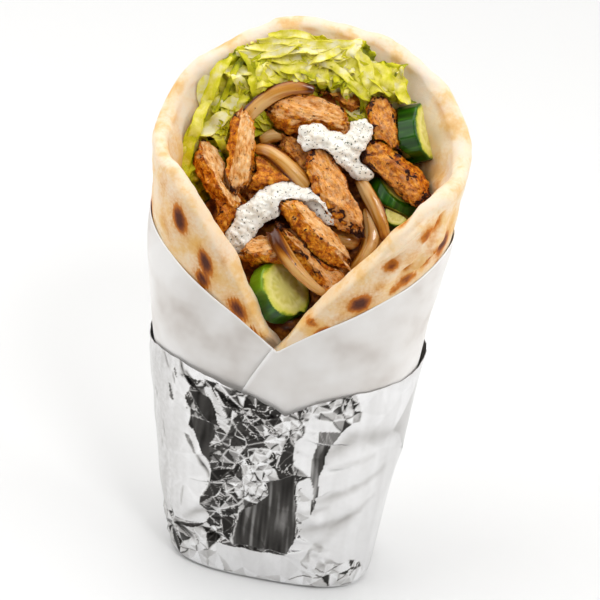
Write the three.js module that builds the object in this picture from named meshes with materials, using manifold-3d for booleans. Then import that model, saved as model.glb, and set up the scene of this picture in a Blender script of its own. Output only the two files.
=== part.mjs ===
// A gyro wrap: a thick flatbread rolled into a cone round grilled chicken, fried onion, cucumber,
// shredded lettuce and herb sauce, held in a paper sleeve and a foil cup that stands on its flat foot.
// Millimetres, +Z up. The origin is the middle of the flat base, and the open front faces -Y.
import * as THREE from "three";
import { mergeVertices } from "three/addons/utils/BufferGeometryUtils.js";
import Module from "manifold-3d";

const wasm = await Module();
wasm.setup();

// ---- driving dimensions -------------------------------------------------------------------------

const HEIGHT = 200; // the height over which the cone widens
const BASE = { halfWidth: 35.7, halfDepth: 18.9 };
const TOP = { halfWidth: 56.8, halfDepth: 38.4 };
const LEAN_BACK = 7; // the top's middle lies this far behind the base's
const LEAN_RIGHT = 2.1;
const BASE_SKEW = 0.04; // the foot's front edge comes forward to the right
const GAP = 0.5; // between neighbouring pieces of filling, and between them and the bread
const LAYER_GAP = 0.4; // between bread, paper and foil

// The bread is one sheet whose ends reach 210 degrees round from the back, so they cross in front.
const BREAD = { thick: 7, flapThick: 4.2, bottom: 4.8, end: 210, dip: 4.6 };
const PAPER = { thick: 0.7, floor: 1.9, foot: 3, front: 108.5, rise: 42 };
const FOIL = { thick: 0.9, floor: 0, foot: 2.4, front: 82, rise: 14, leftSag: 5, flare: 1 };
const COLUMN_STEP = 7.5; // degrees: bread, paper and foil share their columns, so their facets nest

const FILL_TILT = 49; // degrees: the filling's surface slopes up from the front to the back
const FILL_ORIGIN = [2, 5, 150];

// ---- small helpers ------------------------------------------------------------------------------

const rad = THREE.MathUtils.degToRad;
const lerp = THREE.MathUtils.lerp;
const ease = (t) => THREE.MathUtils.smoothstep(t, 0, 1);

// A smooth curve through [x, y] pairs, level at none of them: Catmull-Rom slopes on uneven steps.
function through(keys, x) {
  const last = keys.length - 1;
  if (x <= keys[0][0]) return keys[0][1];
  if (x >= keys[last][0]) return keys[last][1];
  const i = keys.findIndex((k) => k[0] > x) - 1;
  const slope = (j) => {
    const a = keys[Math.max(j - 1, 0)];
    const b = keys[Math.min(j + 1, last)];
    return (b[1] - a[1]) / (b[0] - a[0]);
  };
  const [[x0, y0], [x1, y1]] = [keys[i], keys[i + 1]];
  const h = x1 - x0;
  const t = (x - x0) / h;
  const hermite = (1 + 2 * t) * (1 - t) ** 2 * y0 + t * t * (3 - 2 * t) * y1;
  return hermite + h * (t * (1 - t) ** 2 * slope(i) - t * t * (1 - t) * slope(i + 1));
}

// Random numbers from 0 to 1 that are the same each run.
function randomFrom(seed) {
  let state = seed >>> 0;
  return () => {
    state = (state + 0x6d2b79f5) >>> 0;
    let t = Math.imul(state ^ (state >>> 15), 1 | state);
    t = (t + Math.imul(t ^ (t >>> 7), 61 | t)) ^ t;
    return ((t ^ (t >>> 14)) >>> 0) / 4294967296;
  };
}

// A closed skin over rings of points. Fan caps suit round ends, and strip caps thin bent ones.
function loft(rings, cap = "fan") {
  const n = rings[0].length;
  const points = rings.flat();
  const faces = [];
  const at = (r, k) => r * n + (k % n);
  for (let r = 0; r + 1 < rings.length; r++)
    for (let k = 0; k < n; k++)
      faces.push(at(r, k), at(r, k + 1), at(r + 1, k + 1), at(r, k), at(r + 1, k + 1), at(r + 1, k));
  const close = (r, flip) => {
    const add = (a, b, c) => faces.push(...(flip ? [a, c, b] : [a, b, c]));
    if (cap === "fan") {
      const middle = points.length;
      points.push(rings[r].reduce((sum, p) => sum.add(p), new THREE.Vector3()).divideScalar(n));
      for (let k = 0; k < n; k++) add(middle, at(r, k + 1), at(r, k));
    } else {
      for (let k = 0; k < n / 2 - 1; k++) {
        add(at(r, k), at(r, n - 1 - k), at(r, k + 1));
        add(at(r, k + 1), at(r, n - 1 - k), at(r, n - 2 - k));
      }
    }
  };
  close(0, false);
  close(rings.length - 1, true);
  const geometry = new THREE.BufferGeometry().setFromPoints(points);
  geometry.setIndex(faces);
  return geometry;
}

// A manifold-3d solid from a closed three.js geometry, turned right side out.
function solidOf(geometry) {
  const bare = geometry.clone();
  bare.deleteAttribute("normal");
  bare.deleteAttribute("uv");
  const merged = mergeVertices(bare, 1e-4);
  const build = (triVerts) =>
    new wasm.Manifold(
      new wasm.Mesh({ numProp: 3, vertProperties: merged.attributes.position.array, triVerts }),
    );
  const triangles = new Uint32Array(merged.index.array);
  const made = build(triangles);
  return made.volume() > 0 ? made : build(triangles.reverse());
}

// The largest body of a solid: cutting can leave loose scraps.
function largest(solid) {
  return solid.decompose().reduce((a, b) => (a.volume() > b.volume() ? a : b));
}

function meshOf(name, solid, material, detail = 0.02) {
  const { numProp, vertProperties, triVerts } = largest(solid.simplify(detail)).getMesh();
  const points = [];
  for (let i = 0; i < vertProperties.length; i += numProp)
    points.push(vertProperties[i], vertProperties[i + 1], vertProperties[i + 2]);
  const geometry = new THREE.BufferGeometry();
  geometry.setAttribute("position", new THREE.Float32BufferAttribute(points, 3));
  geometry.setIndex(Array.from(triVerts));
  geometry.computeVertexNormals();
  const mesh = new THREE.Mesh(geometry, material);
  mesh.name = name;
  return mesh;
}

const finish = (color, roughness, metalness = 0) =>
  new THREE.MeshStandardMaterial({ color, roughness, metalness });
const MATERIALS = {
  bread: finish(0xecd6b4, 0.75),
  paper: finish(0xe9e6e2, 0.6),
  foil: finish(0xd8d8da, 0.25, 1),
  chicken: finish(0xc07a3c, 0.5),
  onion: finish(0xc79a6a, 0.3),
  cucumber: finish(0x4f7d2c, 0.35),
  lettuce: finish(0xbfd06a, 0.45),
  sauce: finish(0xeeeee6, 0.35),
};

// ---- the wrap's outer form ----------------------------------------------------------------------

// A point on the cone, pushed outwards by offset. theta is in degrees round the wrap: 0 at the front,
// 90 at the right and 180 at the back.
function onCone(theta, z, offset = 0) {
  const t = Math.max(z, 0) / HEIGHT;
  const power = lerp(3.1, 2.3, ease(z / 90)); // a boxy base grows into a rounder top
  const sin = Math.sin(rad(theta));
  const cos = Math.cos(rad(theta));
  const reach = (Math.abs(sin) ** power + Math.abs(cos) ** power) ** (-1 / power);
  const uneven = 0.45 * Math.sin(rad(3 * theta + 40) + z / 31) + 0.35 * Math.sin(rad(5 * theta) - z / 23);
  const spread = offset + uneven * ease(z / 60);
  const halfWidth = lerp(BASE.halfWidth, TOP.halfWidth, t) + spread;
  const halfDepth = lerp(BASE.halfDepth, TOP.halfDepth, t ** 0.9) + spread;
  const x = LEAN_RIGHT * ease((z - 110) / 60) + halfWidth * sin * reach;
  const skew = BASE_SKEW * (1 - ease(z / 90));
  return new THREE.Vector3(x, LEAN_BACK * t * t - halfDepth * cos * reach - skew * x, z);
}

// ---- flatbread ----------------------------------------------------------------------------------

// The bread's edge against the angle from the back: high behind, down both flaps to the front, where
// the flaps cross at 180 and run on under the paper.
const BREAD_EDGE = [
  [0, 197], [15, 196.8], [24, 194], [38, 188.5], [57, 181], [66, 176.5], [76, 172.5], [90, 170.5],
  [110, 170], [124, 168.8], [133, 165], [142, 158], [152, 147.5], [163, 133.5], [172, 121.5],
  [180, 110], [190, 99], [200, 80], [BREAD.end, 60],
];
function breadEdge(fromBack) {
  const leftLift = -2 * Math.sin(rad(4 * fromBack)) * Math.exp(-((fromBack / 40) ** 2));
  return through(BREAD_EDGE, Math.abs(fromBack)) + leftLift;
}

// How far round the right flap reaches at a height: the left one dips under it there.
function rightFlapReach(z) {
  let reach = BREAD.end;
  while (reach > 140 && breadEdge(reach) < z) reach -= 0.5;
  return reach;
}

// The bread is thick and puffy in the open and pressed thin where the paper holds its flaps.
function breadThickness(fromBack, z) {
  const pressed = ease((Math.abs(fromBack) - 128) / 22) * ease((126 - z) / 12);
  return lerp(BREAD.thick, BREAD.flapThick, pressed);
}

function flatbread() {
  const bodyRows = 5;
  const rimRows = 3;
  const rings = [];
  for (let fromBack = -BREAD.end; fromBack <= BREAD.end; fromBack += COLUMN_STEP) {
    const theta = 180 - fromBack;
    const top = breadEdge(fromBack) + 0.9 * Math.sin(rad(4.3 * fromBack));
    const round = breadThickness(fromBack, top) / 2;
    const dip = (z) => {
      const under = (rightFlapReach(z) + 12 - (360 + fromBack)) / 12;
      return fromBack < 0 ? BREAD.dip * ease(under) : 0;
    };
    const outer = [];
    const inner = [];
    for (let r = 0; r <= bodyRows; r++) {
      const z = lerp(BREAD.bottom, top - round, (r / bodyRows) ** 0.85);
      outer.push(onCone(theta, z, -dip(z)));
      inner.unshift(onCone(theta, z, -dip(z) - breadThickness(fromBack, z)));
    }
    const rim = [];
    for (let r = 1; r <= rimRows; r++) {
      const turn = (Math.PI * r) / (rimRows + 1);
      const z = top - round + round * Math.sin(turn);
      rim.push(onCone(theta, z, -dip(z) - round + round * Math.cos(turn)));
    }
    rings.push([...outer, ...rim, ...inner]);
  }
  return solidOf(loft(rings, "strip"));
}

// ---- paper and foil -----------------------------------------------------------------------------

function paperEdge(theta) {
  const aside = rad(Math.min(Math.abs(theta), 90));
  return PAPER.front + PAPER.rise * Math.sin(aside) * (1 - 0.12 * Math.sin(2 * aside));
}

function foilEdge(theta) {
  const aside = Math.abs(theta - 6);
  const rise = FOIL.rise * (1 - Math.exp(-aside / 22));
  return FOIL.front + rise - FOIL.leftSag * ease((-theta - 40) / 50) * ease((180 + theta) / 60);
}

// The foil stands off the paper a little where its rim passes the sides.
function foilFlare(theta, z) {
  const nearSide = Math.exp(-(((Math.abs(theta) - 78) / 30) ** 2));
  return FOIL.flare * nearSide * ease((z - foilEdge(theta) + 20) / 20);
}

// A thin-walled cup on the cone: rings go up outside, over the rim and down inside to the floor.
function cup({ thick, floor, foot }, outer, edge, flare = () => 0) {
  const rows = 4;
  const angles = Array.from({ length: 360 / COLUMN_STEP }, (_, k) => k * COLUMN_STEP - 180);
  const flat = (z, offset) => angles.map((theta) => onCone(theta, z, offset));
  const wall = (share, low, offset) =>
    angles.map((theta) => {
      const z = lerp(low, edge(theta), share);
      return onCone(theta, z, offset + flare(theta, z));
    });
  const rings = [flat(floor, outer - foot)];
  for (let r = 0; r <= rows; r++) rings.push(wall(r / rows, floor + foot / 2, outer));
  for (let r = rows; r >= 0; r--) rings.push(wall(r / rows, floor + thick + foot / 2, outer - thick));
  rings.push(flat(floor + thick, outer - foot - thick));
  return solidOf(loft(rings));
}

const paperOuter = LAYER_GAP + PAPER.thick;
const foilOuter = paperOuter + LAYER_GAP + FOIL.thick;

// ---- the filling's own frame --------------------------------------------------------------------

// The filling is laid out on its sloping surface: x to the right, y up the slope, z out of it.
const filling = new THREE.Group();
filling.position.set(...FILL_ORIGIN);
filling.rotation.x = rad(FILL_TILT);
filling.updateMatrixWorld(true);
const toFilling = filling.matrixWorld.clone().invert();

// All the space inside the bread, carried on above its rim. It is smaller where the flaps cross.
function room() {
  const top = 222;
  const rise = 14;
  const rings = [];
  for (let z = BREAD.bottom; z < top; z += rise) {
    const ring = [];
    for (let theta = -180; theta < 180; theta += 2 * COLUMN_STEP) {
      const folded = 1.8 * ease((45 - Math.abs(theta)) / 20) * ease((128 - z) / 12);
      ring.push(onCone(theta, z, -(BREAD.thick + GAP) - folded));
    }
    rings.push(ring);
  }
  return solidOf(loft(rings).applyMatrix4(toFilling));
}

// Everything under a surface z = height(x, y) in the filling's frame, finest up the slope.
function under(height) {
  const steps = 14;
  const half = 62;
  const low = -222;
  const high = 72;
  const deep = -230;
  const points = [];
  const faces = [];
  const at = (layer, i, j) => layer * (steps + 1) ** 2 + i * (steps + 1) + j;
  for (const layer of [0, 1])
    for (let i = 0; i <= steps; i++)
      for (let j = 0; j <= steps; j++) {
        const x = lerp(-half, half, i / steps);
        const y = lerp(low, high, (j / steps) ** 0.5);
        points.push(new THREE.Vector3(x, y, layer ? height(x, y) : deep));
      }
  const quad = (a, b, c, d) => faces.push(a, b, c, a, c, d);
  for (let i = 0; i < steps; i++)
    for (let j = 0; j < steps; j++) {
      quad(at(1, i, j), at(1, i + 1, j), at(1, i + 1, j + 1), at(1, i, j + 1));
      quad(at(0, i, j), at(0, i, j + 1), at(0, i + 1, j + 1), at(0, i + 1, j));
    }
  for (let k = 0; k < steps; k++) {
    quad(at(0, k, 0), at(0, k + 1, 0), at(1, k + 1, 0), at(1, k, 0));
    quad(at(0, k + 1, steps), at(0, k, steps), at(1, k, steps), at(1, k + 1, steps));
    quad(at(0, 0, k + 1), at(0, 0, k), at(1, 0, k), at(1, 0, k + 1));
    quad(at(0, steps, k), at(0, steps, k + 1), at(1, steps, k + 1), at(1, steps, k));
  }
  const geometry = new THREE.BufferGeometry().setFromPoints(points);
  geometry.setIndex(faces);
  return solidOf(geometry);
}

// ---- pieces of filling --------------------------------------------------------------------------

// Puts a piece made along x into the filling's frame.
function place(geometry, { at, heading, roll = 0, pitch = 0 }) {
  const turn = new THREE.Euler(rad(roll), rad(pitch), rad(heading), "ZYX");
  const matrix = new THREE.Matrix4().makeRotationFromEuler(turn).setPosition(...at);
  return geometry.applyMatrix4(matrix);
}

// A torn strip of grilled chicken: an uneven slab with blunt ends and a slight bow.
function chicken({ size, seed, bow = 1.5, ...where }, grow = 0) {
  const [length, width, thick] = size;
  const random = randomFrom(seed);
  const sides = 9;
  const stations = 7;
  const rough = Array.from({ length: sides }, () => 0.86 + 0.26 * random());
  const rings = [];
  for (let s = 0; s <= stations; s++) {
    const t = s / stations;
    const along = Math.abs(2 * t - 1);
    const full = Math.sqrt(Math.max(0, 1 - along ** 3.2)) * (0.9 + 0.2 * random()) + 0.24;
    const drift = (random() - 0.5) * 0.1 * width;
    const ring = [];
    for (let k = 0; k < sides; k++) {
      const a = (2 * Math.PI * k) / sides;
      const square = (Math.abs(Math.cos(a)) ** 2.8 + Math.abs(Math.sin(a)) ** 2.8) ** (-1 / 2.8);
      const reach = square * full * (rough[k] + 0.1 * (random() - 0.5));
      ring.push(
        new THREE.Vector3(
          (t - 0.5) * (length + 2 * grow),
          drift + bow * (1 - along ** 2) + Math.cos(a) * (reach * (width / 2) + grow),
          Math.sin(a) * (reach * (thick / 2) + grow),
        ),
      );
    }
    rings.push(ring);
  }
  return solidOf(place(loft(rings), where));
}

// A band bent along a line of points, such as a slice of fried onion: flat side up, ends tapered.
function band({ path, width, thick, bend = 0.8, stand = 0, stations = 9, sides = 8 }, grow = 0) {
  const curve = new THREE.CatmullRomCurve3(path.map((p) => new THREE.Vector3(...p)));
  const up = new THREE.Vector3(0, 0, 1);
  const rings = [];
  for (let s = 0; s <= stations; s++) {
    const t = s / stations;
    const tangent = curve.getTangentAt(t);
    const middle = curve.getPointAt(t).addScaledVector(tangent, grow * (2 * t - 1));
    const across = new THREE.Vector3().crossVectors(up, tangent).normalize();
    const normal = new THREE.Vector3().crossVectors(tangent, across);
    const lean = rad(stand);
    const wide = across.clone().multiplyScalar(Math.cos(lean)).addScaledVector(normal, Math.sin(lean));
    const high = new THREE.Vector3().crossVectors(tangent, wide);
    const taper = 0.45 + 0.55 * Math.sin(Math.PI * t) ** 0.5;
    rings.push(
      Array.from({ length: sides }, (_, k) => {
        const a = (2 * Math.PI * k) / sides;
        const w = Math.cos(a) * ((width / 2) * taper + grow);
        const h = Math.sin(a) * ((thick / 2) * (0.6 + 0.4 * taper) + grow);
        const arch = -bend * (w / (width / 2)) ** 2;
        return middle.clone().addScaledVector(wide, w).addScaledVector(high, h + arch);
      }),
    );
  }
  return solidOf(loft(rings));
}

// A slice of cucumber with flat peel facets and, where share is under 1, a cut side. Its axis is z.
function cucumber({ radius, thick, facets = 9, share, spin = -90, ...where }, grow = 0) {
  const half = Math.PI * share;
  const reach = radius + grow;
  const corners = Array.from({ length: facets + 1 }, (_, k) => {
    const a = -Math.PI / 2 + half * ((2 * k) / facets - 1);
    return new THREE.Vector2(reach * Math.cos(a), reach * Math.sin(a));
  });
  const chord = grow - radius * Math.cos(half);
  if (grow) for (const side of [1, -1]) corners.push(new THREE.Vector2(side * reach * Math.sin(half), chord));
  const bevel = grow ? 0 : 0.5;
  const depth = thick + 2 * (grow - bevel);
  const geometry = new THREE.ExtrudeGeometry(new THREE.Shape(corners), {
    depth,
    bevelEnabled: !grow,
    bevelThickness: bevel,
    bevelSize: bevel,
    bevelOffset: -bevel,
    bevelSegments: 1,
  });
  geometry.translate(0, 0.9 * radius * (1 - share), -depth / 2).rotateZ(rad(spin));
  return solidOf(place(geometry, where));
}

// Thick sauce squeezed out along lines: each run is low and round-topped, and its width wavers.
function sauce({ runs }, grow = 0) {
  const sides = 8;
  const solids = runs.map(({ path, width, thick, seed }) => {
    const curve = new THREE.CatmullRomCurve3(path.map((p) => new THREE.Vector3(...p)));
    const random = randomFrom(seed);
    const stations = 2 * path.length;
    const rings = [];
    for (let s = 0; s <= stations; s++) {
      const t = s / stations;
      const tangent = curve.getTangentAt(t);
      const middle = curve.getPointAt(t).addScaledVector(tangent, grow * (2 * t - 1));
      const across = new THREE.Vector3(-tangent.y, tangent.x, 0).normalize();
      const normal = new THREE.Vector3().crossVectors(tangent, across);
      const full = Math.sqrt(1 - Math.abs(2 * t - 1) ** 5) * (0.86 + 0.26 * random()) + 0.18;
      rings.push(
        Array.from({ length: sides }, (_, k) => {
          const a = (2 * Math.PI * k) / sides;
          return middle
            .clone()
            .addScaledVector(across, Math.cos(a) * ((width / 2) * full + grow))
            .addScaledVector(normal, Math.sin(a) * ((thick / 2) * full + grow));
        }),
      );
    }
    return solidOf(loft(rings));
  });
  return wasm.Manifold.union(solids);
}

// ---- where each piece lies, from the top of the heap down -----------------------------------------

const CHICKEN_TOP = {
  chicken_1: { at: [4.7, -13.1, 4.5], heading: -36, roll: 20, size: [31, 9.5, 8], seed: 3, bow: 1.2 },
  chicken_2: { at: [10, 3.2, 3.5], heading: -53, roll: -8, size: [33, 10.6, 8], seed: 11, bow: -1.8 },
  chicken_3: { at: [-24.6, 11.4, 4.5], heading: -86, roll: 12, size: [28, 9, 7.5], seed: 23, bow: 1 },
  chicken_4: { at: [4.6, -21.2, 1.5], heading: -39, roll: 10, size: [32, 10, 8], seed: 31, bow: 1.6 },
  chicken_5: { at: [28.6, 12.2, 2], heading: -36, roll: -12, size: [29, 11, 8.5], seed: 47, bow: 1 },
  chicken_6: { at: [22.6, 27.6, 2.5], heading: -66, roll: 6, size: [20, 9, 7.5], seed: 59, bow: -1 },
};
const ONION_TOP = {
  onion_1: { path: [[-21.6, 19, 2.5], [-20.4, 25, 4.5], [-16.2, 31, 5.5], [-10, 35, 6], [-2.5, 35.4, 5]],
    width: 5.2, thick: 2, stand: 25 },
};
const SAUCE = {
  sauce_upper: { runs: [
    { path: [[-6, 17.6, 4], [-1, 19.6, 5], [5, 18.6, 5], [11, 15.6, 4], [16, 13.6, 2.6], [20.4, 9.6, 1.2]],
      width: 9, thick: 5.4, seed: 5 },
    { path: [[15.6, 28, 4.6], [15, 23, 5], [13.4, 17, 3.6]], width: 8, thick: 6, seed: 9 },
  ] },
  sauce_lower: { runs: [
    { path: [[-21, -23.4, 0.6], [-20, -16, 2], [-16.6, -9, 3], [-11.6, -4, 3.4], [-5, -2, 3.2],
      [1.6, -3.6, 2.6], [9.6, -7.6, 1.4]], width: 9.6, thick: 6, seed: 13 },
  ] },
};
const CHICKEN_UNDER = {
  chicken_7: { at: [-3.2, 25.4, 0.8], heading: -12, roll: 14, size: [29, 14.5, 8], seed: 61, bow: 1.8 },
  chicken_8: { at: [-13.2, 4.2, 1], heading: -24, roll: -8, size: [19, 13, 9], seed: 71, bow: 1 },
  chicken_9: { at: [-24, -10, -0.8], heading: -58, roll: 5, size: [18, 11, 9], seed: 83, bow: 1 },
  chicken_10: { at: [-29.4, 1.6, 1], heading: -54, roll: 12, size: [28, 10, 8.5], seed: 97, bow: -1.2 },
  chicken_11: { at: [-10.6, -20.4, 1], heading: 4, roll: -10, size: [17, 9, 8], seed: 103, bow: 0.6 },
};
const ONION_UNDER = {
  onion_2: { path: [[-18.6, 14, 2.4], [-12.4, 14.6, 4.2], [-5.8, 12.2, 4.8], [-0.8, 6.4, 4], [1.6, 0, 2.4]],
    width: 5.2, thick: 2, stand: -16 },
  onion_3: { path: [[15.6, 9.4, 0.6], [19.6, 4.2, 1.8], [24.6, -2.8, 2], [28.6, -11, 1.2]],
    width: 5.2, thick: 2, stand: 24 },
  onion_4: { path: [[20.4, -1, -0.6], [23.4, -9, 0.4], [22, -16.6, 0.8], [18.4, -23.4, -0.4]],
    width: 5.2, thick: 2, stand: 16 },
  onion_5: { path: [[-9.6, -11.8, 1.6], [-6.4, -18.6, 2.6], [-0.2, -26.2, 2.4], [9, -32, 0.6]],
    width: 5, thick: 2, stand: -18 },
};
const CUCUMBER = {
  cucumber_1: { at: [-4.8, -33.6, -1.4], pitch: 45, heading: 43, radius: 10.3, thick: 7, share: 0.84 },
  cucumber_2: { at: [32.4, 26.8, -1.2], pitch: 70, heading: 15, radius: 10.2, thick: 9.4, share: 0.8 },
  cucumber_3: { at: [28, 4.6, -3.6], pitch: 90, heading: 74, radius: 9.6, thick: 8, share: 0.5 },
  cucumber_4: { at: [29.4, -3.4, -2.4], pitch: 20, heading: 60, radius: 4.4, thick: 5, share: 0.6 },
};
const CHICKEN_DEEP = {
  chicken_12: { at: [5.4, 32.2, -0.2], heading: 14, roll: 0, size: [15, 8, 7], seed: 113, bow: 0.6 },
  chicken_13: { at: [-4.8, 14, -3], heading: -42, roll: 8, size: [17, 9, 7], seed: 127, bow: 0.8 },
  chicken_14: { at: [-18.8, -2.2, -3], heading: -30, roll: 0, size: [13, 9, 7], seed: 131, bow: 0.6 },
};
const ONION_DEEP = {
  onion_6: { path: [[-18.6, 16.8, -1.4], [-12.8, 19.6, -0.4], [-6, 18.8, -0.8]], width: 4.4, thick: 2 },
  onion_7: { path: [[7.8, -9.8, -1.6], [13.6, -12.4, -0.6], [19.6, -12, -1.4]], width: 6, thick: 2.2 },
};

const MAKERS = { chicken, onion: band, sauce, cucumber };
const LAID = [
  ["chicken", CHICKEN_TOP],
  ["onion", ONION_TOP],
  ["sauce", SAUCE],
  ["chicken", CHICKEN_UNDER],
  ["onion", ONION_UNDER],
  ["cucumber", CUCUMBER],
  ["chicken", CHICKEN_DEEP],
  ["onion", ONION_DEEP],
];

// ---- lettuce and the bed of filling -----------------------------------------------------------------

// Where lettuce gives way to the meat, as y against x in the filling's frame.
const LETTUCE_FRONT = [[-60, -4], [-38, 2], [-28, 15], [-16, 27], [0, 31], [16, 29], [30, 30], [60, 24]];

// The lettuce lies along the back wall, from the bottom of the wrap to its rim.
function lettuceSide() {
  const outline = new THREE.Shape();
  const slope = Math.cos(rad(FILL_TILT));
  LETTUCE_FRONT.forEach(([x, y], k) => {
    const plan = [x + FILL_ORIGIN[0], y * slope + FILL_ORIGIN[1]];
    if (k) outline.lineTo(...plan);
    else outline.moveTo(...plan);
  });
  outline.lineTo(62, 70);
  outline.lineTo(-58, 70);
  outline.closePath();
  const wall = new THREE.ExtrudeGeometry(outline, { depth: 230, bevelEnabled: false });
  return solidOf(wall.applyMatrix4(toFilling));
}

const bumps = (x, y) => 0.9 * Math.sin(x / 2.9 + 1) * Math.cos(y / 3.3) + 0.6 * Math.sin(x / 5.1 - y / 4.3);
const bedTop = (x, y) => -7 - 3.5 * ((x - 2) / 44) ** 2 + bumps(x, y);
function lettuceTop(x, y) {
  const sides = 3 * ease((-x - 20) / 14) - 12 * ease((x - 25) / 10);
  return -1.6 + 7 * ease((y - 18) / 28) - 2 * (x / 50) ** 2 + sides + bumps(x + 3, y);
}

// Long shreds laid over the lettuce, each a thin wavy strip.
function lettuceShreds(grow = 0) {
  const random = randomFrom(7);
  const rows = 3;
  const perRow = 5;
  const strips = [];
  for (let row = 0; row < rows; row++)
    for (let k = 0; k < perRow; k++) {
      const x = lerp(-42, 31, (k + 0.5) / perRow) + 5 * (random() - 0.5);
      const back = 50 - 9 * (x / 40) ** 2;
      const y = lerp(through(LETTUCE_FRONT, x) + 1, back, (row + 0.5) / rows);
      const heading = rad(lerp(-70, 70, random()) + (random() < 0.5 ? 0 : 90));
      const half = 7 + 4 * random();
      const lift = lettuceTop(x, y) + 1;
      const path = [-1, -0.33, 0.33, 1].map((s, i) => [
        x + s * half * Math.cos(heading) + 1.5 * Math.sin(2.2 * i),
        y + s * half * Math.sin(heading),
        lift + 0.9 * Math.sin(2.1 * i + k),
      ]);
      const width = 3.6 + 1.6 * random();
      const stand = 60 * (random() - 0.5);
      strips.push(band({ path, width, thick: 1.4, bend: 0.5, stand, stations: 3, sides: 6 }, grow));
    }
  return wasm.Manifold.union(strips);
}

// ---- putting it together ----------------------------------------------------------------------------

// Each piece gives way to those laid above it, and all of them to the bread.
const inside = room();
const above = [];
for (const [kind, pieces] of LAID)
  for (const [name, spec] of Object.entries(pieces)) {
    const make = MAKERS[kind];
    const whole = make(spec).intersect(inside);
    const piece = above.length ? whole.subtract(wasm.Manifold.union(above)) : whole;
    filling.add(meshOf(name, piece, MATERIALS[kind], 0.12));
    above.push(make(spec, GAP));
  }
const laid = wasm.Manifold.union(above);
const side = lettuceSide();
const towardsFront = new THREE.Vector3(0, -GAP, 0).transformDirection(toFilling).multiplyScalar(GAP);
const sideAndGap = side.translate(...towardsFront.toArray());
const lettuce = under(lettuceTop).intersect(side).add(lettuceShreds()).intersect(inside).subtract(laid);
const bed = under(bedTop).intersect(inside).subtract(sideAndGap).subtract(laid).subtract(lettuceShreds(GAP));
filling.add(meshOf("lettuce", lettuce, MATERIALS.lettuce, 0.2));
filling.add(meshOf("filling_bed", bed, MATERIALS.chicken, 0.2));

const wrap = new THREE.Group();
wrap.add(meshOf("foil", cup(FOIL, foilOuter, foilEdge, foilFlare), MATERIALS.foil));
wrap.add(meshOf("paper", cup(PAPER, paperOuter, paperEdge), MATERIALS.paper));
wrap.add(meshOf("flatbread", flatbread(), MATERIALS.bread));
wrap.add(filling);

export default wrap;
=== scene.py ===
# %% [markdown]
# # A gyro wrap in paper and foil
#
# A thick flatbread is rolled into a cone round grilled chicken, fried onion, cucumber, shredded lettuce
# and a herb sauce. A paper sleeve holds it, and a crumpled foil cup holds the paper and stands on its
# flat foot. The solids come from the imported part, and each cell below turns one of them into the real
# thing: first the outer layers, which all follow one cone, and then the filling.

# %% Load the solids
import math
import random

import bpy
import numpy as np
from mathutils import Matrix, Vector, noise
from mathutils.bvhtree import BVHTree
from mathutils.geometry import delaunay_2d_cdt


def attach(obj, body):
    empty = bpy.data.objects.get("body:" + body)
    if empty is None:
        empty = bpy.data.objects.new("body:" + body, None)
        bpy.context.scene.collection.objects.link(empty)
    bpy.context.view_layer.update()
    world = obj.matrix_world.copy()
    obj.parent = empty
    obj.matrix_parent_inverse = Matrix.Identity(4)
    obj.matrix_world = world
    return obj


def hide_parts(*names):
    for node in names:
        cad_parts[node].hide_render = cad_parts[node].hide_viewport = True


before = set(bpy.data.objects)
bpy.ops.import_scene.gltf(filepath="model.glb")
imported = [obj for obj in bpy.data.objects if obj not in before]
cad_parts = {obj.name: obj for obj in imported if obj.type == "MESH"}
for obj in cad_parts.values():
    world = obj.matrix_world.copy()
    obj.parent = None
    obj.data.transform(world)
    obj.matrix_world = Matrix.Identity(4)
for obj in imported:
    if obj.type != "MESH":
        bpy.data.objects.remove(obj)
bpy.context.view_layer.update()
MM = 0.001

# %% [markdown]
# ## Camera
#
# Food like this is shot from above the open front, with a long lens so that the cone doesn't look
# stretched. The camera could be placed by coordinates, but it is set by its angles round the wrap and
# its distance, because those are what is chosen at the set.

# %% The camera
# Angles in degrees, and the distance in metres from the place that the camera looks at.
CAMERA = {"azimuth": 5.0, "elevation": 36.0, "roll": 5.5, "distance": 0.9, "half_view": 6.5}
AIM = Vector((0.0036, 0.0, 0.111))
SENSOR = 36.0  # mm

bpy.ops.object.select_all(action="DESELECT")
bpy.ops.object.camera_add()
camera = bpy.context.object
camera.name = "camera"
turn, lift, roll = (math.radians(CAMERA[k]) for k in ("azimuth", "elevation", "roll"))
back = Vector((math.sin(turn) * math.cos(lift), -math.cos(turn) * math.cos(lift), math.sin(lift)))
level = Vector((math.cos(turn), math.sin(turn), 0))
upright = back.cross(level)
across = level * math.cos(roll) + upright * math.sin(roll)
along = upright * math.cos(roll) - level * math.sin(roll)
axes = Matrix((across, along, back)).transposed()
camera.matrix_world = Matrix.Translation(AIM + back * CAMERA["distance"]) @ axes.to_4x4()
camera.data.sensor_width = SENSOR
camera.data.lens = SENSOR / 2 / math.tan(math.radians(CAMERA["half_view"]))
bpy.context.scene.camera = camera
print("lens", round(camera.data.lens), "mm")

# %% [markdown]
# ## Studio
#
# Bright foil shows whatever stands round it, so the studio matters as much as the metal. A pale floor, a
# broad soft light overhead and one at each side make most of the foil white. The room behind the camera stays
# dark, and the creases that turn that way pick it up as a dark line; the foil's dark lines and facets are
# also painted into its colour as a painted reflection of that dark room.

# %% Colours, nodes and materials
def linear(hex_colour):
    """An sRGB hex colour as the linear RGBA that Blender's sockets take."""
    parts = [int(hex_colour[i : i + 2], 16) / 255 for i in (1, 3, 5)]
    return [c / 12.92 if c < 0.04045 else ((c + 0.055) / 1.055) ** 2.4 for c in parts] + [1.0]


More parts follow.
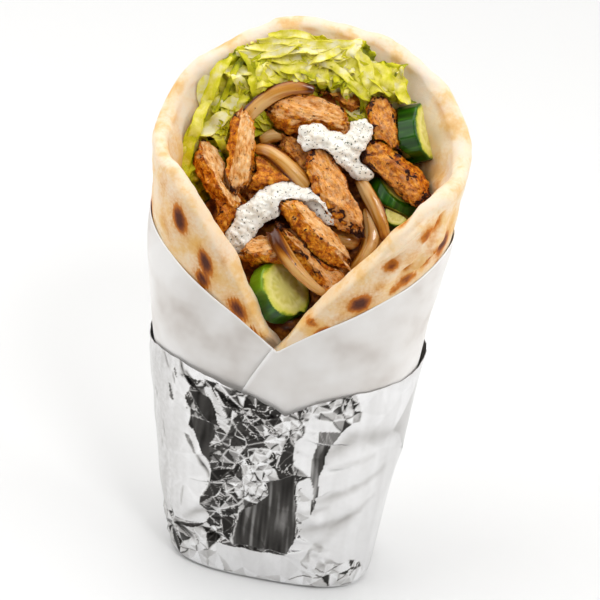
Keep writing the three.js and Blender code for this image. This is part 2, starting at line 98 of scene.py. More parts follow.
def add(tree, kind, inputs=(), stops=(), **settings):
    """Adds a node. An input is a value or another node's output, and stops fill a colour ramp.

    Inputs go by name or number. Those of MapRange are 0 for the value, 1 and 2 for the range that it
    comes from, 3 and 4 for the range that it goes to. MixRGB has the share at 0 and its colours at 1 and 2.
    """
    made = tree.nodes.new("ShaderNode" + kind)
    for name, value in settings.items():
        setattr(made, name, value)
    for socket, value in dict(inputs).items():
        if isinstance(value, bpy.types.NodeSocket):
            tree.links.new(value, made.inputs[socket])
        else:
            made.inputs[socket].default_value = value
    for k, (place, colour) in enumerate(stops):
        ramp = made.color_ramp.elements
        stop = ramp[k] if k < 2 else ramp.new(place)
        stop.position = place
        stop.color = linear(colour) if isinstance(colour, str) else [colour] * 3 + [1]
    return made


def material(name, **sockets):
    """A new material, with plain values set on its shader's own sockets."""
    made = bpy.data.materials.new(name)
    made.use_nodes = True
    shader = made.node_tree.nodes["Principled BSDF"]
    for socket, value in sockets.items():
        shader.inputs[socket.replace("_", " ")].default_value = value
    return made, made.node_tree, shader


print("a mid grey of #808080 is", round(linear("#808080")[0], 3), "in linear light")

# %% Floor
FLOOR_SIZE = 6.0  # metres
bpy.ops.mesh.primitive_plane_add(size=FLOOR_SIZE)
floor = bpy.context.object
floor.name = "floor"
paint, _, _ = material("matt white studio floor", Base_Color=linear("#E8E8E8"), Roughness=0.9,
                       Specular_IOR_Level=0.1)
floor.data.materials.append(paint)
print("floor:", FLOOR_SIZE, "m")

# %% Lights
# Each light: where it stands, its width and height in metres, and its power in watts.
LIGHTS = {
    "overhead softbox": ((-0.25, 0.2, 1.3), (1.5, 1.3), 10.8),
    "left softbox": ((-1.0, -0.25, 0.55), (0.9, 1.0), 5.0),
    "right softbox": ((1.0, -0.2, 0.6), (0.9, 1.0), 5.9),
    "key light": ((0.45, -0.7, 1.25), (0.28, 0.28), 4.6),
}
for name, (place, (wide, high), power) in LIGHTS.items():
    bpy.ops.object.light_add(type="AREA", location=place)
    light = bpy.context.object
    light.name = name
    light.data.shape = "RECTANGLE"
    light.data.size, light.data.size_y = wide, high
    light.data.energy = power
    light.rotation_euler = (Vector(place) - AIM).to_track_quat("Z", "Y").to_euler()
print("lights:", ", ".join(LIGHTS))

# %% Room
# The room is dark behind the camera and pale behind the wrap. MapRange turns one into the other.
world = bpy.data.worlds.new("studio room")
bpy.context.scene.world = world
world.use_nodes = True
room = world.node_tree
towards = add(room, "TexCoord")
parts = add(room, "SeparateXYZ", {0: towards.outputs["Generated"]})
front = add(room, "MapRange", {0: parts.outputs["Y"], 1: -0.75, 2: 0.1, 3: 0.03, 4: 0.7})
room.links.new(front.outputs[0], room.nodes["Background"].inputs["Strength"])
room.nodes["Background"].inputs["Color"].default_value = linear("#EEEDEA")
bpy.context.scene.view_settings.view_transform = "Standard"
print("room:", world.name)

# %% [markdown]
# ## The cone
#
# Bread, paper and foil are sheets wrapped round one leaning cone, which is nearly a box at its foot and
# an oval at its top. One function gives a point of that cone from an angle, a height and a distance
# outwards, so the layers lie on each other without any fitting by eye.

# %% Points on the cone
HEIGHT = 200.0  # mm, as the values below it
BASE_HALF = (35.7, 18.9)  # half the width and half the depth
TOP_HALF = (56.8, 38.4)
LEAN_BACK = 7.0
LEAN_RIGHT = 2.1
BASE_SKEW = 0.04  # mm back for each mm to the left


def lerp(a, b, t):
    """The value that lies the share t of the way from a to b."""
    return a + (b - a) * t


def ease(t):
    """Rises smoothly from 0 to 1 while t does, and stays level outside."""
    t = np.clip(t, 0, 1)
    return t * t * (3 - 2 * t)


def wrapped(theta):
    """The same angle between -180 and 180."""
    return (theta + 180) % 360 - 180


def on_cone(theta, z, offset=0.0):
    """Points at angles in degrees (0 in front, 90 at the right), heights and offsets in millimetres."""
    t = np.maximum(z, 0) / HEIGHT
    power = lerp(3.1, 2.3, ease(z / 90))  # boxy at the foot, oval from 90 mm up
    sin, cos = np.sin(np.radians(theta)), np.cos(np.radians(theta))
    reach = (np.abs(sin) ** power + np.abs(cos) ** power) ** (-1 / power)
    uneven = 0.45 * np.sin(np.radians(3 * theta + 40) + z / 31)
    uneven = uneven + 0.35 * np.sin(np.radians(5 * theta) - z / 23)
    # The foot is pressed in on its left, and a hand-rolled cone is never quite even.
    slim = 2.6 * np.exp(-(((wrapped(theta) + 72) / 34) ** 2)) * ease((36 - z) / 34)
    spread = offset + uneven * ease(z / 60) - slim
    half_width = lerp(BASE_HALF[0], TOP_HALF[0], t) + spread
    half_depth = lerp(BASE_HALF[1], TOP_HALF[1], t**0.9) + spread
    x = LEAN_RIGHT * ease((z - 110) / 60) + half_width * sin * reach
    y = LEAN_BACK * t * t - half_depth * cos * reach - BASE_SKEW * (1 - ease(z / 90)) * x
    return np.stack(np.broadcast_arrays(x, y, z), axis=-1)


# %% Rim of the paper
GAP = 0.4  # mm between one layer and the next
# In mm: the solid's thickness, the foot, the rim in front and its rise to the sides, and the thickness of
# the sheet itself. The tuck is how many degrees the left end runs on under the right one.
PAPER = {"thick": 0.7, "floor": 1.9, "front": 108.5, "rise": 42.0, "sheet": 0.25, "tuck": 38.0}


def paper_edge(theta):
    """The height of the paper's rim, which dips a little at both sides."""
    aside = np.radians(np.minimum(np.abs(theta), 90))
    sag = 6 * np.exp(-(((np.abs(theta) - 98) / 22) ** 2))
    return PAPER["front"] + PAPER["rise"] * np.sin(aside) * (1 - 0.12 * np.sin(2 * aside)) - sag


# %% Curves and noise
def through(keys, x):
    """A smooth curve through (x, y) pairs, with the slope at each taken from its neighbours."""
    xs, ys = (np.array(v, float) for v in zip(*keys))
    before = np.concatenate([[0], np.arange(len(xs) - 1)])
    after = np.concatenate([np.arange(1, len(xs)), [len(xs) - 1]])
    slopes = (ys[after] - ys[before]) / (xs[after] - xs[before])
    x = np.clip(x, xs[0], xs[-1])
    i = np.clip(np.searchsorted(xs, x, side="right") - 1, 0, len(xs) - 2)
    h = xs[i + 1] - xs[i]
    t = (x - xs[i]) / h
    value = (1 + 2 * t) * (1 - t) ** 2 * ys[i] + t * t * (3 - 2 * t) * ys[i + 1]
    return value + h * (t * (1 - t) ** 2 * slopes[i] - t * t * (1 - t) * slopes[i + 1])


def rough(points, size, seed):
    """Smooth noise from about -1 to 1, with lumps of a size given in millimetres."""
    shift = Vector((seed * 17.3, seed * 5.1, seed * 9.7))
    scaled = points / np.array(size, float)
    return np.array([noise.noise(Vector(p) + shift) for p in scaled]) * 1.6


print("the cone is", HEIGHT, "mm high, and its layers lie", GAP, "mm apart")

# %% [markdown]
# ## Small tools
#
# Every layer starts as Blender's grid primitive, whose points a function then puts on the cone. These
# helpers do the steps that repeat: selecting one piece, working on it in edit mode, applying a modifier
# and handing the finished piece over with its material.

# %% Select a piece, and read and move its points
def select_only(piece):
    """Operators act on all that is selected, so everything else is deselected first."""
    bpy.ops.object.select_all(action="DESELECT")
    piece.select_set(True)
    bpy.context.view_layer.objects.active = piece


def points_of(piece, layer="co"):
    """The piece's points in millimetres, or its normals."""
    source = piece.data.vertices if layer == "co" else piece.data.vertex_normals
    values = np.zeros(len(piece.data.vertices) * 3, np.float32)
    source.foreach_get("co" if layer == "co" else "vector", values)
    return values.reshape(-1, 3).astype(float) / (MM if layer == "co" else 1)


def put_points(piece, points):
    """Moves the piece's points to places in millimetres."""
    piece.data.vertices.foreach_set("co", (points * MM).astype(np.float32).ravel())
    piece.data.update()


def put_attribute(piece, name, values):
    """Stores one number or one vector for each point of the piece."""
    kind, field = ("FLOAT", "value") if values.ndim == 1 else ("FLOAT_VECTOR", "vector")
    layer = piece.data.attributes.new(name, kind, "POINT")
    layer.data.foreach_set(field, values.astype(np.float32).ravel())


def attribute_of(piece, name):
    """The numbers stored for the piece's points."""
    values = np.zeros(len(piece.data.vertices), np.float32)
    piece.data.attributes[name].data.foreach_get("value", values)
    return values


# %% Edit a piece
def edit(piece, *steps):
    """Runs edit-mode operators on all of the piece. A step is an operator's name and its settings."""
    select_only(piece)
    bpy.ops.object.mode_set(mode="EDIT")
    bpy.ops.mesh.select_mode(type="VERT")
    bpy.ops.mesh.select_all(action="SELECT")
    for name, settings in steps:
        getattr(bpy.ops.mesh, name)(**settings)
    bpy.ops.object.mode_set(mode="OBJECT")


def largest_part(piece):
    """Leaves only the largest loose part of a piece, because a remesh may leave crumbs beside it."""
    name = piece.name
    edit(piece, ("separate", {"type": "LOOSE"}))
    parts = sorted(bpy.context.selected_objects, key=lambda part: len(part.data.vertices))
    for crumb in parts[:-1]:
        bpy.data.objects.remove(crumb)
    parts[-1].name = parts[-1].data.name = name
    return parts[-1]


def modify(piece, kind, **settings):
    """Adds a modifier and applies it at once."""
    select_only(piece)
    made = piece.modifiers.new(kind.lower(), kind)
    for name, value in settings.items():
        setattr(made, name, value)
    bpy.ops.object.modifier_apply(modifier=made.name)


# %% Start a sheet, and hand a finished piece over
def grid(name, columns, rows):
    """A grid primitive, and the places u and v from 0 to 1 of its points across it and up it."""
    bpy.ops.object.select_all(action="DESELECT")
    bpy.ops.mesh.primitive_grid_add(x_subdivisions=columns, y_subdivisions=rows, size=2 * MM)
    piece = bpy.context.object
    piece.name = piece.data.name = name
    flat = points_of(piece)
    return piece, (flat[:, 0] + 1) / 2, (flat[:, 1] + 1) / 2


def hand_over(piece, paint, slot, *nodes, angle=40):
    """Gives a finished piece its material, parents it to the root and hides the solids that it stands for."""
    select_only(piece)
    bpy.ops.object.shade_smooth_by_angle(angle=math.radians(angle))
    piece.data.materials.clear()
    piece.data.materials.append(paint)
    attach(piece, "root")
    if nodes:
        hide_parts(*nodes)
    print(f"{piece.name}: {len(piece.data.polygons)} faces")


MERGE = ("remove_doubles", {"threshold": 0.01 * MM})
OUTWARDS = ("normals_make_consistent", {"inside": False})
print("points closer than", MERGE[1]["threshold"] / MM, "mm count as one")

# %% [markdown]
# ## Flatbread
#
# The bread is one thick sheet, rolled with its right flap over its left one in front. It could be a
# solidified surface, but its rim is puffy and round, so each column of the grid is a whole section of the
# dough: up the outside, over the rim and down the inside. The flap that is folded round the side has small
# pleats. Griddle spots are blisters that touched the hot iron: small ovals, darkest in the middle, listed one
# by one on the flaps and at random elsewhere.

# %% Measure the flatbread
# In mm: the dough's thickness, its thickness where it is pressed, its lower end, and how deep the left
# flap dips under the right one. Both flaps end at the same number of degrees from the back.
BREAD = {"thick": 7.0, "flap_thick": 4.2, "bottom": 4.8, "end": 210.0, "dip": 4.6}
OUTSIDE_SHARE, RIM_SHARE = 0.44, 0.12  # of a section's points. The inside has the rest
BREAD_EDGE = [  # the rim's height against the angle from the back
    (0, 197), (15, 196.8), (24, 194), (38, 188.5), (57, 181), (66, 176.5), (76, 172.5), (90, 170.5),
    (110, 170), (124, 168.8), (133, 165), (142, 158), (152, 147.5), (163, 133.5), (172, 121.5),
    (180, 110), (190, 99), (200, 80), (210, 60),
]


def bread_edge(from_back):
    """The height of the rim, which is a little wavy at the back."""
    lift = -2 * np.sin(np.radians(4 * from_back)) * np.exp(-((from_back / 40) ** 2))
    return through(BREAD_EDGE, np.abs(from_back)) + lift


def right_flap_reach(z):
    """How far from the back the right flap reaches at a height. The left flap dips under it there."""
    angles = np.arange(140, BREAD["end"] + 0.5, 0.5)
    return np.interp(-z, -bread_edge(angles), angles)


def bread_thickness(from_back, z):
    """The dough is thinner where the paper presses the two flaps together."""
    pressed = ease((np.abs(from_back) - 128) / 22) * ease((126 - z) / 12)
    return lerp(BREAD["thick"], BREAD["flap_thick"], pressed)


print("the dough is", BREAD["thick"], "mm thick, and", BREAD["flap_thick"], "mm where it is pressed")


# %% Roll the flatbread
def bread_section(u, v):
    """The outside for the first part of v, then the round rim, then the inside.

    The last row lies on the first one, and at both ends the inside lies on the outside, so that merging
    closes the sheet.
    """
    v = np.where(v > 1 - 1e-4, 0, v)
    v = np.where((np.abs(2 * u - 1) > 1 - 1e-4) & (v > 0.5), 1 - v, v)
    from_back = lerp(-BREAD["end"], BREAD["end"], u)
    theta = 180 - from_back
    top = bread_edge(from_back) + 0.9 * np.sin(np.radians(4.3 * from_back))
    round_off = bread_thickness(from_back, top) / 2
    outside, inside = np.clip(v / OUTSIDE_SHARE, 0, 1), np.clip((1 - v) / OUTSIDE_SHARE, 0, 1)
    turn = np.pi * np.clip((v - OUTSIDE_SHARE) / RIM_SHARE, 0, 1)
    is_inside = v > OUTSIDE_SHARE + RIM_SHARE
    share = np.where(v < 0.5, outside, inside)
    z = lerp(BREAD["bottom"], top - round_off, share**0.9) + round_off * np.sin(turn)
    under = (right_flap_reach(z) + 12 - (360 + from_back)) / 12
    dip = np.where(from_back < 0, BREAD["dip"] * ease(under), 0)
    offset = -dip - round_off * (1 - np.cos(turn))
    offset = np.where(is_inside, -dip - bread_thickness(from_back, z), offset)
    below = np.clip((top - round_off - z) / 30, 0, 1)
    # Inside, the soft dough bulges towards the filling below the rim.
    pillow = 2.4 * np.sin(np.pi * below) * ease((118 - np.abs(from_back)) / 20)
    points = on_cone(theta, z, offset - np.where(is_inside, pillow, 0))
    return points, ease((z - paper_edge(wrapped(theta))) / 9)


bread, u, v = grid("flatbread_sheet", 330, 140)
points, free = bread_section(u, v)
put_points(bread, points)
put_attribute(bread, "free", free)
put_attribute(bread, "inner", ease((v - 0.562) / 0.045))
broken = 0.6 * ease(rough(points, (9, 9, 4), 7) + 0.2)
put_attribute(bread, "lip", np.exp(-(((v - 0.552) / 0.01) ** 2)) * np.maximum(broken, ease((u - 0.7) / 0.1)))
edit(bread, MERGE, OUTWARDS)
print("flatbread sheet:", len(bread.data.vertices), "points")

# %% Place the griddle spots
# The spots of both flaps: x and height in millimetres, half length, half width, lean and strength.
FLAP_SPOTS = [
    (-36.3, 152.2, 5.8, 2.8, 18, 1.0), (-26.6, 138.7, 5.6, 2.6, 18, 1.0), (-27.2, 131.5, 3.6, 2.6, 38, 1.0),
    (-14.5, 123.2, 5.8, 3.0, 40, 0.85), (-8.5, 115.4, 2.2, 1.4, 40, 0.75), (-5.5, 113.8, 4.2, 1.0, 68, 0.4),
    (25.7, 132.1, 5.0, 3.8, -45, 1.0), (34.3, 147.8, 3.6, 2.2, -40, 0.62), (44.3, 158.3, 4.0, 2.3, -30, 0.55),
    (45.9, 147.3, 5.0, 1.6, -28, 0.75), (49.9, 149.5, 5.0, 1.7, -16, 0.85), (39.8, 140.2, 3.4, 2.2, -40, 0.7),
    (14.7, 118.7, 3.8, 3.0, -50, 0.78), (10.4, 123.1, 3.6, 2.2, 60, 0.5), (-48.6, 143.5, 4.6, 1.0, 8, 0.85),
    (-45.0, 136.0, 2.4, 1.0, 20, 0.6), (-20.5, 141.5, 5.0, 3.0, 20, 0.2), (31.0, 139.0, 5.5, 3.0, -45, 0.22),
    (-41.0, 146.0, 9.0, 3.0, 14, 0.2), (-31.0, 128.0, 9.0, 2.6, 40, 0.22), (-44.0, 160.0, 8.0, 3.0, 6, 0.18),
    (40.0, 150.0, 7.0, 4.0, -35, 0.18), (20.0, 126.0, 8.0, 2.6, -52, 0.2), (46.0, 155.0, 9.0, 2.4, -18, 0.22),
]
RANDOM_SPOTS = 46  # round the back and inside


def spot_strength(points, outer):
    """How browned each point is by the spots, from 0 to 1."""
    wobble = rough(points, 2.2, 4) * 0.08 + rough(points, 0.9, 6) * 0.03
    burnt = np.zeros(len(points))
    in_front = (points[:, 1] < 12) * outer
    for x, z, long, wide, lean, strength in FLAP_SPOTS:
        dx, dz = points[:, 0] - x, points[:, 2] - z
        sin, cos = math.sin(math.radians(lean)), math.cos(math.radians(lean))
        reach = np.hypot((dx * cos + dz * sin) / wide, (dz * cos - dx * sin) / long)
        oval = np.maximum(np.clip(1.15 - reach + wobble, 0, 1), 0.26 * np.exp(-((reach / 1.6) ** 2)))
        burnt = np.maximum(burnt, oval * strength * in_front)
    draw = random.Random(12)
    for _ in range(RANDOM_SPOTS):
        theta, z = draw.uniform(105, 262), draw.uniform(20, 185)
        outside = draw.random() < 0.75
        size, strength = draw.uniform(1.6, 4.6), draw.uniform(0.3, 1.0)
        middle = on_cone(np.array(theta), np.array(z), 0.0 if outside else -BREAD["thick"])
        reach = np.linalg.norm((points - middle) * (1, 1, 0.7), axis=1) / size
        burnt = np.maximum(burnt, np.clip(1.15 - reach + wobble, 0, 1) * strength)
    return burnt


def pleats(points):
    """Narrow folds where the right flap turns round the side, as heights from -1 to 1."""
    here = ease((points[:, 0] - 29) / 8) * ease((52 - points[:, 0]) / 4) * (points[:, 1] < 14)
    here = here * ease((points[:, 2] - 132) / 5) * ease((168 - points[:, 2]) / 8)
    lean = math.radians(38)
    across = points[:, 0] * math.cos(lean) - points[:, 2] * math.sin(lean)
    along = points[:, 0] * math.sin(lean) + points[:, 2] * math.cos(lean)
    return here * rough(np.stack([across, along, 0 * along], -1), (2.3, 15, 1), 8)


print("spots:", len(FLAP_SPOTS), "on the flaps and", RANDOM_SPOTS, "elsewhere")

# %% Knead the surface
points, normals = points_of(bread), points_of(bread, "normal")
inner, free = attribute_of(bread, "inner"), attribute_of(bread, "free")
flap = 0.2 * (1 - inner) * ease((172 - points[:, 2]) / 18) * (points[:, 1] < 14)
flap *= np.clip(0.9 + 0.9 * rough(points, 9, 9), 0, 2)
# Inside, the dough is painted golden as painted shade, darker on the left wall than on the right; the front
# flaps below the rim get golden patches of their own colour.
put_attribute(bread, "golden_patches_and_painted_shade", inner * lerp(0.95, 0.55, ease((points[:, 0] + 10) / 40)) + flap)
burnt = spot_strength(points, 1 - inner)
puff = 0.75 * rough(points, 17, 1) + 0.38 * rough(points, 7, 2) + 0.16 * rough(points, 2.6, 3)
folds = pleats(points)
lift = (puff - 0.1 + 0.25 * ease(burnt * 1.4) + 1.5 * folds) * free - 0.35
put_points(bread, points + normals * lift[:, None])
# Where the pleats sink below zero they are browned like the spots: painted shade in their hollows.
put_attribute(bread, "burnt", np.maximum(burnt, 0.9 * np.clip(-folds - 0.16, 0, 0.45)))
print("the dough rises by", round(float(lift.max()), 1), "mm at most")

# %% [markdown]
# ## Baked dough
#
# Pale leavened dough, baked on a hot griddle. Its skin is dry and dusty, so it is rough, but light goes a
# little way into it, which softens its shadows and warms them. Colour comes in three layers: cream dough,
# golden patches where it puffed against the iron, and brown spots with a darker heart. On top of these comes
# painted shade: the inner wall is painted golden, more on the left than on the right, and the pleats are
# browned in their hollows.

# %% Material: baked flatbread
paint, tree, shader = material(
    "baked flatbread dough", Roughness=0.6, Specular_IOR_Level=0.3,
    Subsurface_Weight=0.22, Subsurface_Radius=(1.0, 0.6, 0.35), Subsurface_Scale=2.5 * MM)
where = add(tree, "TexCoord").outputs["Object"]
patches = add(tree, "TexNoise", {"Vector": where, "Scale": 95, "Detail": 4, "Roughness": 0.6})
dough = add(tree, "ValToRGB", {0: patches.outputs[0]},
            [(0.36, "#EDDECB"), (0.5, "#EFDBBE"), (0.6, "#EAC894"), (0.72, "#E0AE66")])
golden_patches_and_painted_shade = add(tree, "Attribute", attribute_name="golden_patches_and_painted_shade")
# Mixes in gold: painted shade on the inner wall, and the flaps' own golden patches.
golden_and_painted_shade = add(tree, "MixRGB", {0: golden_patches_and_painted_shade.outputs["Fac"], 1: dough.outputs[0], 2: linear("#E9B866")})
lip = add(tree, "Attribute", attribute_name="lip")
lined = add(tree, "MixRGB", {0: lip.outputs["Fac"], 1: golden_and_painted_shade.outputs[0], 2: linear("#D8943A")})
burnt = add(tree, "Attribute", attribute_name="burnt")
ragged = add(tree, "TexNoise", {"Vector": where, "Scale": 900, "Detail": 4})
edge = add(tree, "MapRange", {0: ragged.outputs[0], 1: 0.3, 2: 0.7, 3: -0.05, 4: 0.05})
browned = add(tree, "Math", {0: burnt.outputs["Fac"], 1: edge.outputs[0]}, operation="ADD")
amount = add(tree, "MapRange", {0: browned.outputs[0], 1: 0.02, 2: 0.28}, clamp=True)
toast = add(tree, "ValToRGB", {0: browned.outputs[0]},
            [(0.1, "#E4A84C"), (0.32, "#C47014"), (0.55, "#843E04"), (0.8, "#501E00")])
skin = add(tree, "MixRGB", {0: amount.outputs[0], 1: lined.outputs[0], 2: toast.outputs[0]})
tree.links.new(skin.outputs[0], shader.inputs["Base Color"])
crumb = add(tree, "TexNoise", {"Vector": where, "Scale": 700, "Detail": 6, "Roughness": 0.6})
dent = add(tree, "Bump", {"Height": crumb.outputs[0], "Strength": 0.3, "Distance": 0.5 * MM})
tree.links.new(dent.outputs[0], shader.inputs["Normal"])
hand_over(bread, paint, "flatbread", "flatbread")

# %% [markdown]
# ## Paper sleeve
#
# A sheet of white wrapping paper goes round the bread and its right side ends in a slanting edge over the
# left one. It is modelled as a spiral sheet: the left end dips under, the right end lies outside. A
# Solidify modifier then gives the sheet its thickness. Broad soft dents come from noise, because paper
# bends in large, low forms. Its cut edges are kept as an attribute, because they catch the light.

# %% Wrap the paper
PAPER_OUTSIDE = GAP + PAPER["thick"]
# The right end: degrees from the back at the rim, and how the edge slants from there down to a height.
PAPER_END = {"at_rim": 182.0, "slant": 0.88, "down_to": 55.0}


def paper_points(u, v):
    """u goes from the tucked left end round the back to the right end, and v from foot to rim."""
    tucked = -180.0 - PAPER["tuck"]
    end = PAPER_END["at_rim"] + PAPER_END["slant"] * (1 - v) * (PAPER["front"] - PAPER_END["down_to"])
    from_back = lerp(tucked, end, u)
    theta = 180 - from_back
    under = ease((-from_back - 140) / 30)
    edge = np.where(from_back < -180, PAPER["front"] - 0.8 * (-from_back - 180), paper_edge(wrapped(theta)))
    z = lerp(PAPER["floor"], edge, v)
    hugging = 0.7 * ease((z - edge + 9) / 9)
    layer = PAPER_OUTSIDE - 0.45 * under * (1 - hugging) - hugging
    # The sheet is dented by what it holds, its free edge curls, and near a cut the attribute rises to 1, for
    # a painted highlight along the cut edge.
    points = on_cone(theta, z, layer)
    dents = 0.5 * rough(points, 30, 21) + 0.25 * rough(points, 12, 22) - 0.35
    to_end = (end - from_back) * 0.85
    curl = 0.35 * np.exp(-((to_end / 4) ** 2)) * ease((z - 84) / 8)
    cut = np.maximum(np.exp(-((to_end / 0.5) ** 2)), np.exp(-(((edge - z) / 0.35) ** 2)))
    return on_cone(theta, z, layer + curl + np.minimum(dents, 0.1) * ease(z / 30)), cut


paper, u, v = grid("paper_sleeve_sheet", 260, 100)
points, cut = paper_points(u, np.clip(v, 0, 1) ** 0.8)
put_points(paper, points)
put_attribute(paper, "cut", cut)
edit(paper, OUTWARDS)
modify(paper, "SOLIDIFY", thickness=PAPER["sheet"] * MM, offset=-1.0)
print("paper sheet:", len(paper.data.vertices), "points")

# %% [markdown]
# ## Wrapping paper
#
# Machine-glazed wrapping paper is matt, faintly warm and a little see-through, so where it touches the bread
# or lies double it looks greyer. Slow noise gives those clouds, and a fine noise its fibres. The cut edge is
# painted nearly white, a painted highlight where it catches the light.

# %% Material: white wrapping paper
paint, tree, shader = material("white wrapping paper", Roughness=0.6, Specular_IOR_Level=0.3)
where = add(tree, "TexCoord").outputs["Object"]
clouds = add(tree, "TexNoise", {"Vector": where, "Scale": 42, "Detail": 3, "Roughness": 0.5})
tint = add(tree, "ValToRGB", {0: clouds.outputs[0]},
           [(0.34, "#CFC8C2"), (0.46, "#E2DEDA"), (0.64, "#EEECEA")])
cut = add(tree, "Attribute", attribute_name="cut")
# Near a cut the colour goes to near-white: a painted highlight on the cut edge.
cut_edge_highlighted = add(tree, "MixRGB", {0: cut.outputs["Fac"], 1: tint.outputs[0], 2: linear("#FCFBFA")})
tree.links.new(cut_edge_highlighted.outputs[0], shader.inputs["Base Color"])
fibres = add(tree, "TexNoise", {"Vector": where, "Scale": 1400, "Detail": 3})
dent = add(tree, "Bump", {"Height": fibres.outputs[0], "Strength": 0.12, "Distance": 0.2 * MM})
tree.links.new(dent.outputs[0], shader.inputs["Normal"])
hand_over(paper, paint, "paper", "paper")

# %% [markdown]
# ## Foil cup
#
# Crumpled foil is flat between its creases, so it is a sheet of small facets rather than a bumpy one.
# The facets are triangles over points strewn on the unrolled sheet: close together where the foil was
# squeezed, far apart where it lies smooth. Lifting each point a little makes the creases, and the largest
# folded panels are laid out one by one before the strewing starts. Each facet's reflection is painted into
# the metal's colour: a facet that would lean towards the dark side of the room is painted dark, and because a
# bent facet fades from light to dark, each of its corners has its own share of that painted reflection.

# %% Lay out the folds
# In mm: the solid's thickness, the rim in front, its rise to the sides and its sag on the left, how far
# the rim leans in, how far the foot's edge is drawn in, and the thickness of the sheet itself.
FOIL = {"thick": 0.9, "front": 82.0, "rise": 14.0, "left_sag": 5.0, "hug": 1.0, "foot": 2.4,
        "sheet": 0.22}
FOIL_OUTSIDE = PAPER_OUTSIDE + GAP + FOIL["thick"]
UNROLL = 0.85  # mm of sheet to a degree of the cone
SHEET_HALF = 180 * UNROLL
# Folded panels in front: their painted reflection from dark to light, and the outline as x and height in mm.
PANELS = {
    "lens": (0.13, [(-29.7, 84.2), (-25.7, 85.8), (-22.3, 84.8), (-19.7, 81.3), (-17.9, 77.5), (-19.7, 74.9),
                    (-22.8, 77), (-25.4, 79.6)]),
    "bright stripe": (0.8, [(-23.3, 88.4), (-21, 88.2), (-17.1, 82.3), (-13.6, 75.1), (-14.1, 71.4),
                            (-16.6, 74.1), (-18.7, 78.7)]),
    "under rim": (0.12, [(-20.3, 88.6), (-14.5, 87.6), (-9, 84.2), (-10.6, 82.2), (-14.8, 83.4)]),
    "rim triangle": (0.1, [(-6.5, 84.2), (-1.5, 83.2), (3.4, 81.2), (0.8, 78), (-1, 80.4), (-4.8, 82)]),
    "left flank": (0.2, [(-28.3, 72.7), (-24.5, 73.6), (-19.3, 73.2), (-19.1, 69), (-20.2, 64.3),
                         (-19.8, 56.1), (-22.2, 59.4), (-25.7, 66.4)]),
    "dark bar": (0.06, [(-19.4, 51.3), (-11.5, 55.1), (-9.3, 57.3), (-10.2, 52.2), (-15.4, 48.4),
                        (-19.1, 47.3)]),
    "left wedge": (0.17, [(-19.5, 45.5), (-14.1, 46.6), (-15.2, 44.1), (-18, 39.7), (-22.8, 34.3),
                          (-21.8, 39)]),
    "apron": (0.23, [(-0.1, 50.2), (4.9, 53.4), (9.4, 55.8), (12.1, 38), (12.4, 29.8), (9.8, 18.2),
                     (2.3, 18.9), (-9.2, 18.3), (-8.6, 30.5), (-6.6, 36.2), (-2.5, 39.8), (1.1, 44.7)]),
    "right flank": (0.13, [(6.5, 73.4), (8.7, 65.1), (9.2, 57), (4.9, 54.6), (2.9, 58.7), (4.4, 66.1)]),
    "low wedge": (0.1, [(-14.6, 29.7), (-10.4, 31.9), (-9.9, 26.1), (-10.4, 19), (-13.7, 22.2)]),
    "dark centre": (0.05, [(-7.4, 60.9), (-6, 61.6), (-5, 60.2), (-6.1, 58.4)]),
    "slit": (0.12, [(-32.3, 18.3), (-27.1, 21.3), (-20.6, 24.6), (-22.3, 22.4), (-25.4, 20.1),
                    (-29.9, 17.3)]),
    "hollow": (0.06, [(-20.3, 19.4), (-17.3, 21), (-14.8, 20.1), (-15.8, 15.8), (-18.9, 15.6)]),
    "corner edge": (0.14, [(-33.9, 13), (-31.8, 11.9), (-29.2, 6.2), (-28.8, 2.9), (-31.6, 6.2)]),
    "first dash": (0.25, [(-35.5, 90.3), (-34.7, 90.1), (-33.5, 87.4), (-34.4, 87.8)]),
    "second dash": (0.3, [(-37.5, 81.4), (-36.5, 81.6), (-34.2, 76.7), (-35.6, 76.8)]),
    "third dash": (0.2, [(-31.4, 89.6), (-29.4, 89.3), (-27, 86.4), (-28.9, 87)]),
    "fourth dash": (0.4, [(-30.1, 64.2), (-28.7, 63.9), (-24.6, 57.5), (-25.6, 57.4), (-28.6, 60.8)]),
    "sliver": (0.34, [(16.2, 69.8), (21.1, 70.2), (19.7, 63.8), (18.6, 56.1), (17.9, 46.8), (16.9, 44.6),
                      (15.7, 55.8), (15.5, 63.5)]),
    "sliver tip": (0.22, [(16.1, 44.2), (17.6, 45.6), (17.5, 41.2), (16.3, 37.7)]),
    "sliver head": (0.4, [(16.8, 76.2), (19.8, 76.9), (24.5, 76.3), (21.4, 71.4), (19.2, 70.9),
                          (16.6, 71.3)]),
    "right nick": (0.15, [(11.5, 79.3), (12.4, 78.6), (12.1, 75.5), (11, 73.9)]),
    "side face": (0.88, [(46.4, 93.4), (47.3, 91), (43.8, 56.6), (40.6, 74.7), (43.3, 89.7)]),
}
STREAKED = {"apron", "sliver", "lens", "left flank"}  # the roller's marks show in these
print("folded panels:", len(PANELS))

